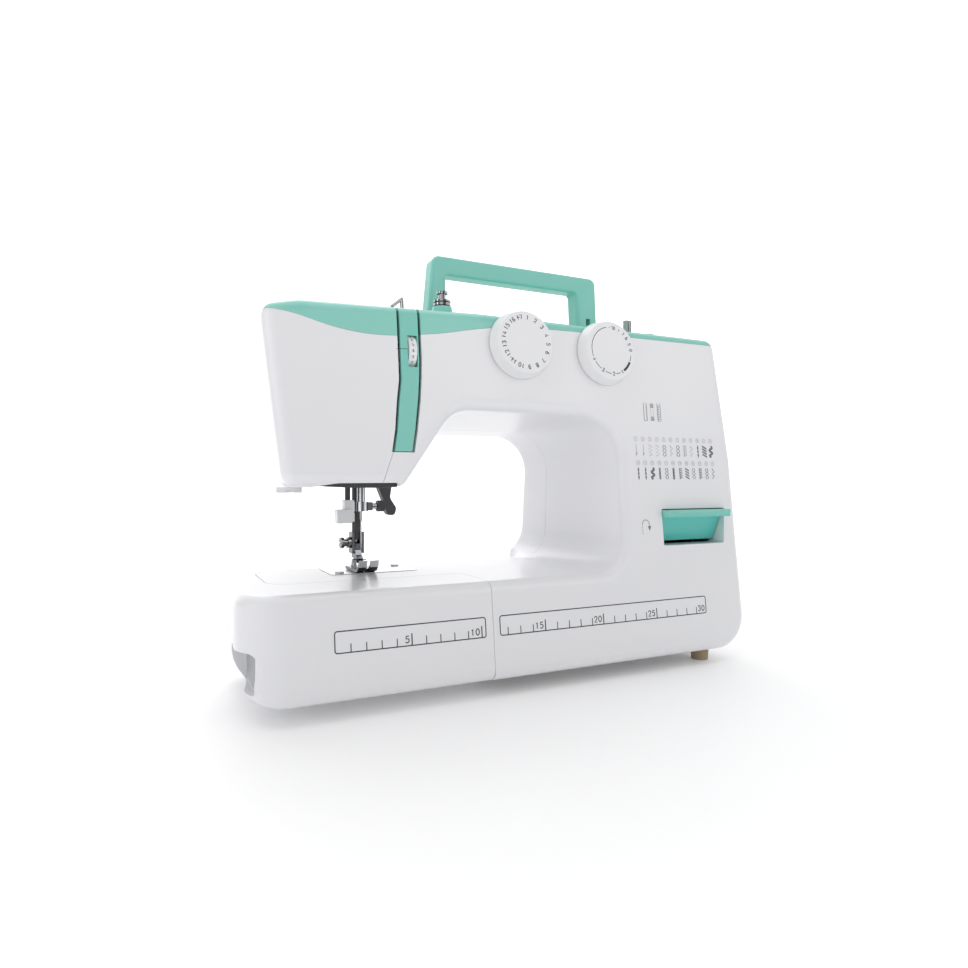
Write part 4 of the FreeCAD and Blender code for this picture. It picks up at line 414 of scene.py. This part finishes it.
def zig(pr, x, z0, z1, w, n, s, kind):
    h = z1 - z0
    if kind == 0:      # straight stitch with a widening foot
        for i in range(5):
            pr.line((x, z0 + h * (i + 0.15) / 5), (x, z0 + h * (i + 0.75) / 5), s)
        pr.poly([(x - 0.9, z0 + 2.4), (x + 0.9, z0 + 2.4), (x, z0 + 0.2)])
    elif kind == 1:    # zigzag
        pr.path([(x + (w / 2 if i % 2 else -w / 2), z1 - h * i / n) for i in range(n + 1)], s)
    elif kind == 2:    # blind hem
        pr.path([(x - w / 4 + (w * 0.7 if i in (2, 5) else (0.25 if i % 2 else -0.25)), z1 - h * i / 7) for i in range(8)], s)
    elif kind == 3:    # triple bar
        for dx in (-0.45, 0.45):
            pr.line((x + dx, z0), (x + dx, z1), s)
        for i in range(7):
            pr.line((x - 0.8, z0 + h * (i + 0.4) / 7), (x + 0.8, z0 + h * (i + 0.4) / 7), s * 0.8)
    elif kind == 4:    # filled wave
        pr.path([(x + math.sin(i * 0.9) * w / 2, z1 - h * i / 14) for i in range(15)], s * 2.3)
    elif kind == 5:    # comb
        pr.line((x - w / 4, z0), (x - w / 4, z1), s)
        for i in range(6):
            pr.line((x - w / 4, z0 + h * (i + 0.4) / 6), (x + w / 2, z0 + h * (i + 0.9) / 6), s)
    elif kind == 6:    # slanted bars
        for i in range(4):
            pr.line((x - w / 2, z1 - h * (i + 0.1) / 4), (x + w / 2, z1 - h * (i + 0.85) / 4), s * 1.7)
    elif kind == 7:    # honeycomb
        for sgn in (1, -1):
            pr.path([(x + sgn * (w / 2 if i % 2 else w / 8), z1 - h * i / 6) for i in range(7)], s)
    elif kind == 8:    # leaves
        pr.line((x, z0), (x, z1), s)
        for i in range(3):
            zc = z0 + h * (i + 0.5) / 3
            pr.poly([(x, zc + 1.3), (x + 0.95, zc), (x, zc - 1.3), (x - 0.95, zc)])


row1 = [0, 0, 1, 1, 7, 2, 7, 5, 2, 8, 6, 4]
row2 = [8, 8, 4, 3, 7, 3, 5, 6, 7, 5, 7, 2]
W1 = [0.5, 0.5, 0.5, 0.46, 0.62, 0.5, 0.66, 0.48, 0.48, 0.8, 0.8, 0.8]
W2 = [0.8, 0.8, 0.8, 0.6, 0.62, 0.7, 0.66, 0.62, 0.56, 0.64, 0.66, 0.64]
for i in range(12):
    x = 241.7 + (319.3 - 241.7) * i / 11.0
    tgt = chart if i in (4, 6, 9, 10, 11) else pale
    pale.ring((x, 138.4), 1.7, 0.28)
    digits(pale, str(i + 1), (x, 138.4), 1.7 if i < 9 else 1.4, 0.26)
    zig(tgt, x, 125.0, 134.0, 3.4, 6, W1[i], row1[i])
    x = 242.4 + (320.0 - 242.4) * i / 11.0
    pale.ring((x, 119.6), 1.7, 0.28)
    digits(pale, str(i + 13), (x, 119.6), 1.35, 0.24)
    zig(chart, x, 106.9, 115.6, 3.0, 6, W2[i], row2[i])
# buttonhole steps
for cx, kind in ((253.4, 0), (260.2, 1), (267.2, 2)):
    z0, z1 = 153.2, 167.2
    if kind == 0:
        chart.path([(cx - 1.5, z0), (cx - 1.5, z1), (cx + 1.5, z1), (cx + 1.5, z0), (cx - 1.5, z0)], 0.5)
        for i in range(9):
            pale.line((cx + 0.3, z0 + 1 + i * 1.35), (cx + 1.4, z0 + 1 + i * 1.35), 0.35)
    elif kind == 1:
        for i in range(4):
            chart.line((cx - 1.5, z1 - 0.4 - i * 0.9), (cx + 1.5, z1 - 0.4 - i * 0.9), 0.55)
            chart.line((cx - 1.5, z0 + 0.4 + i * 0.9), (cx + 1.5, z0 + 0.4 + i * 0.9), 0.55)
        pale.line((cx - 1.2, z0 + 4), (cx - 1.2, z1 - 4), 0.3)
        pale.line((cx + 1.2, z0 + 4), (cx + 1.2, z1 - 4), 0.3)
    else:
        chart.path([(cx - 1.5, z0), (cx - 1.5, z1), (cx + 1.5, z1), (cx + 1.5, z0), (cx - 1.5, z0)], 0.5)
        for i in range(9):
            chart.line((cx - 1.3, z0 + 1.4 + i * 1.35), (cx + 0.2, z0 + 1.4 + i * 1.35), 0.5)
# reverse sewing arrow
arr = [(242.3, 64.2), (242.3, 70.5)] + [(245.7 - 3.4 * math.cos(math.radians(a)), 71.2 + 3.9 * math.sin(math.radians(a))) for a in range(0, 181, 15)] + [(249.1, 69.4)]
for i in range(3):
    pale.line((242.3, 64.2 + i * 2.4), (242.3, 65.6 + i * 2.4), 0.5)
chart.path(arr[2:], 0.5)
chart.poly([(247.5, 70.2), (250.7, 70.2), (249.1, 66.4)])
chart.make("print_stitch_chart", M["ink_grey"], "frame")
pale.make("print_stitch_numbers", M["ink_light"], "frame")


# ---------------------------------------------------------------- dial prints
def dial_at(cx, d):
    up = Vector((0.0, math.sin(TILT), math.cos(TILT)))

    def at(u, v):
        return F(cx, 204.0, 10.0 + d) + Vector((u / 1000.0, 0, 0)) + up * (v / 1000.0)
    return at


d1 = Print(dial_at(142.0, 0.05))
for i in range(17):
    a = 90 - i * 360.0 / 17 - 6
    p = (18.3 * math.cos(math.radians(a)), 18.3 * math.sin(math.radians(a)))
    digits(d1, str(i + 1), p, 3.2, 0.60, a - 90)
d1.line((-13.6, -12.0), (-10.4, -14.8), 0.36)
d1.arc((0, 0), 18.3, 104, 112, 0.4, 6)
d1.make("print_pattern_dial", M["ink"], "pattern_selector")

d2 = Print(dial_at(217.0, 0.05))
d2.arc((0, 0), 18.2, 102, 199, 0.5, 40)
d2.arc((0, 0), 18.2, 211, 234, 0.5, 12)
d2.arc((0, 0), 18.2, 247, 265, 0.5, 8)
d2.arc((0, 0), 18.2, 279, 293, 0.5, 8)
d2.arc((0, 0), 18.2, 305, 334, 1.9, 16)
d2.arc((0, 0), 18.2, 337, 352, 0.5, 12)
for txt, a in (("4", 205), ("3", 240), ("2", 272), ("1", 299)):
    p = (18.2 * math.cos(math.radians(a)), 18.2 * math.sin(math.radians(a)))
    digits(d2, txt, p, 3.0, 0.6, a - 270)
for a, txt in ((5, "0"), (20, "5"), (36, "6"), (50, "7")):
    p = (18.2 * math.cos(math.radians(a)), 18.2 * math.sin(math.radians(a)))
    digits(d2, txt, p, 2.7, 0.55, a - 90)
d2.line((17.6 * math.cos(math.radians(64)), 17.6 * math.sin(math.radians(64))), (18.8 * math.cos(math.radians(64)), 18.8 * math.sin(math.radians(64))), 0.5)
for k in range(3):
    a = math.radians(76 + 3.4 * k)
    d2.line((17.0 * math.cos(a), 17.0 * math.sin(a)), (19.4 * math.cos(a + 0.03), 19.4 * math.sin(a + 0.03)), 0.5)
d2.poly([(18.2 * math.cos(math.radians(93)) + 0.5 * c, 18.2 * math.sin(math.radians(93)) + 0.5 * s) for c, s in ((1, 0), (0, 1), (-1, 0), (0, -1))])
d2.make("print_length_dial", M["ink"], "length_selector")

# ---------------------------------------------------------------- tension dial numerals, engraved mark of the band
TZ, TY, TR = 193.0, 32.0, 12.0


def drum(x, a, d=0.05):
    """on the rim of the tension dial: a = degrees above the front horizontal"""
    r = TR + d
    t = math.radians(a)
    return P(x, TY - r * math.cos(t), TZ + r * math.sin(t))


tn = Print(lambda u, a: drum(u, a))
for k, val in enumerate(range(9)):
    ang = -80 + k * 20
    s = 2.2 / 1.5
    for st in DIGITS[str(val)]:
        tn.path([(57.5 + p[0] * s, ang + (p[1] - 0.75) * s / TR * 57.3) for p in st], 0.42)
# a stroke's width is in mm across and in degrees along the rim
tn.make("print_tension_dial", M["ink"], "tension")
eng = Print(lambda x, z: F(x, z, 0.04))
eng.line((47.2, 193.8), (54.9, 194.2), 0.35)
eng.make("print_band_mark", M["black"], "frame")

# ---------------------------------------------------------------- black plate behind the arch of the head: painted shade in the dark gap under it
def plate_xz(name, outline, y0, y1, mat, body, bevel=0.0003, lean=0.0):
    """flat plate cut to an outline in X and Z (design mm), between y0 and y1, with rounded rims"""
    bm = bmesh.new()
    front = [bm.verts.new(P(x, y0 + lean * z, z)) for x, z in outline]
    face = bm.faces.new(front)
    ext = bmesh.ops.extrude_face_region(bm, geom=[face])
    vs2 = [e for e in ext["geom"] if isinstance(e, bmesh.types.BMVert)]
    bmesh.ops.translate(bm, verts=vs2, vec=Vector((0, (y1 - y0) / 1000.0, 0)))
    bmesh.ops.recalc_face_normals(bm, faces=bm.faces)
    me = bpy.data.meshes.new(name)
    bm.to_mesh(me)
    bm.free()
    me.materials.append(mat)
    o = bpy.data.objects.new(name, me)
    bpy.context.scene.collection.objects.link(o)
    bv = o.modifiers.new("edge", "BEVEL")
    bv.width = bevel
    bv.segments = 2
    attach(o, body)
    return o


# black plate in the dark band under the head: painted shade standing in for the shadowed opening there
plate_xz("head_gap_shade_plate", [(-10, 105.5), (-10, 102.6), (0, 101.8), (16, 101.0), (38, 100.8), (48.6, 101.4), (48.6, 105.5)], 24.4, 25.4, M["black"], "frame")


def hollow_liner():
    """grey sheet on the back wall of the finger recess in the extension table: painted shade for the inside of the
    recess
    """
    z0, z1, y0, y1, x = -20.6, 1.6, 17.0, 50.6, -44.55
    bm = bmesh.new()
    nx, nz = 12, 8
    grid = [[bm.verts.new(P(x + 0.25 * math.sin(j * math.pi), y0 + (y1 - y0) * i / nx, z0 + (z1 - z0) * j / nz)) for j in range(nz + 1)] for i in range(nx + 1)]
    for i in range(nx):
        for j in range(nz):
            bm.faces.new((grid[i][j], grid[i + 1][j], grid[i + 1][j + 1], grid[i][j + 1]))
    me = bpy.data.meshes.new("finger_recess_shade_sheet")
    bm.to_mesh(me)
    bm.free()
    me.materials.append(M["grey"])
    o = bpy.data.objects.new("finger_recess_shade_sheet", me)
    bpy.context.scene.collection.objects.link(o)
    so = o.modifiers.new("thick", "SOLIDIFY")
    so.thickness = 0.0003
    so.offset = 0.0
    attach(o, "table")


hollow_liner()

# ---------------------------------------------------------------- floor, light, camera
def floor_mat():
    m, nt, bs = new_mat("studio_floor")
    n1 = noise(nt, 3.0, 3.0)
    r = ramp(nt, n1.outputs[0], [(0.3, (0.905, 0.905, 0.91)), (0.7, (0.92, 0.92, 0.925))])
    nt.links.new(r.outputs[0], bs.inputs["Base Color"])
    setv(bs, Roughness=0.55)
    tc = nt.nodes.new("ShaderNodeTexCoord")
    sx = nt.nodes.new("ShaderNodeSeparateXYZ")
    nt.links.new(tc.outputs["Object"], sx.inputs[0])
    mr = nt.nodes.new("ShaderNodeMapRange")
    mr.interpolation_type = "SMOOTHSTEP"
    mr.inputs["From Min"].default_value = 0.35
    mr.inputs["From Max"].default_value = 2.0
    mr.inputs["To Min"].default_value = 0.10
    mr.inputs["To Max"].default_value = 0.62
    ln = nt.nodes.new("ShaderNodeVectorMath")
    ln.operation = "LENGTH"
    nt.links.new(tc.outputs["Object"], ln.inputs[0])
    nt.links.new(ln.outputs["Value"], mr.inputs["Value"])
    bs.inputs["Emission Color"].default_value = (1.0, 1.0, 1.0, 1.0)
    nt.links.new(mr.outputs[0], bs.inputs["Emission Strength"])
    return m


fm = floor_mat()
me = bpy.data.meshes.new("floor")
R = 9.0
prof = [(-R, 0.0), (2.2, 0.0)] + [(2.2 + 1.6 * math.sin(t * math.pi / 24), 1.6 - 1.6 * math.cos(t * math.pi / 24)) for t in range(1, 13)] + [(3.8, 9.0)]
ang = math.radians(-26.45)
ca, sa = math.cos(ang), math.sin(ang)
vs, fs = [], []
for x in (-R, R):
    for y, z in prof:
        vs.append((x * ca - y * sa, x * sa + y * ca, z))
n = len(prof)
for i in range(n - 1):
    fs.append((i, i + 1, n + i + 1, n + i))
me.from_pydata(vs, [], fs)
me.materials.append(fm)
for p in me.polygons:
    p.use_smooth = True
floor = bpy.data.objects.new("floor", me)
bpy.context.scene.collection.objects.link(floor)

world = bpy.data.worlds.new("studio")
bpy.context.scene.world = world
world.use_nodes = True
bg = world.node_tree.nodes["Background"]
bg.inputs[0].default_value = (1.0, 1.0, 1.0, 1.0)
bg.inputs[1].default_value = 0.52


def area(name, loc, target, size, power, sy=None, col=(1, 1, 1)):
    l = bpy.data.lights.new(name, "AREA")
    l.energy = power
    l.color = col
    l.shape = "RECTANGLE"
    l.size = size
    l.size_y = sy or size
    o = bpy.data.objects.new(name, l)
    o.location = loc
    d = Vector(target) - Vector(loc)
    o.rotation_euler = d.to_track_quat("-Z", "Y").to_euler()
    bpy.context.scene.collection.objects.link(o)
    return o


area("key_top", (-0.2, 0.15, 1.6), (0, 0, 0.1), 1.7, 9.0)
area("fill_left", (-1.9, -0.5, 0.9), (0, 0, 0.15), 1.2, 5.2)
area("fill_right", (1.2, -1.8, 1.2), (0, 0, 0.15), 1.2, 4.6)
area("rim_back", (0.3, 1.7, 1.4), (0, 0, 0.15), 1.4, 6.0)

cam = bpy.data.cameras.new("cam")
cam.lens = 26.03
cam.sensor_width = 36.0
cam.shift_y = -0.0036
cam.clip_start = 0.01
cam.clip_end = 60.0
co = bpy.data.objects.new("cam", cam)
co.location = P(-108.7, -422.2, 105.7)
co.rotation_euler = (math.radians(90), 0.0, math.radians(-26.45))
bpy.context.scene.collection.objects.link(co)
bpy.context.scene.camera = co
bpy.context.scene.view_settings.view_transform = "Standard"
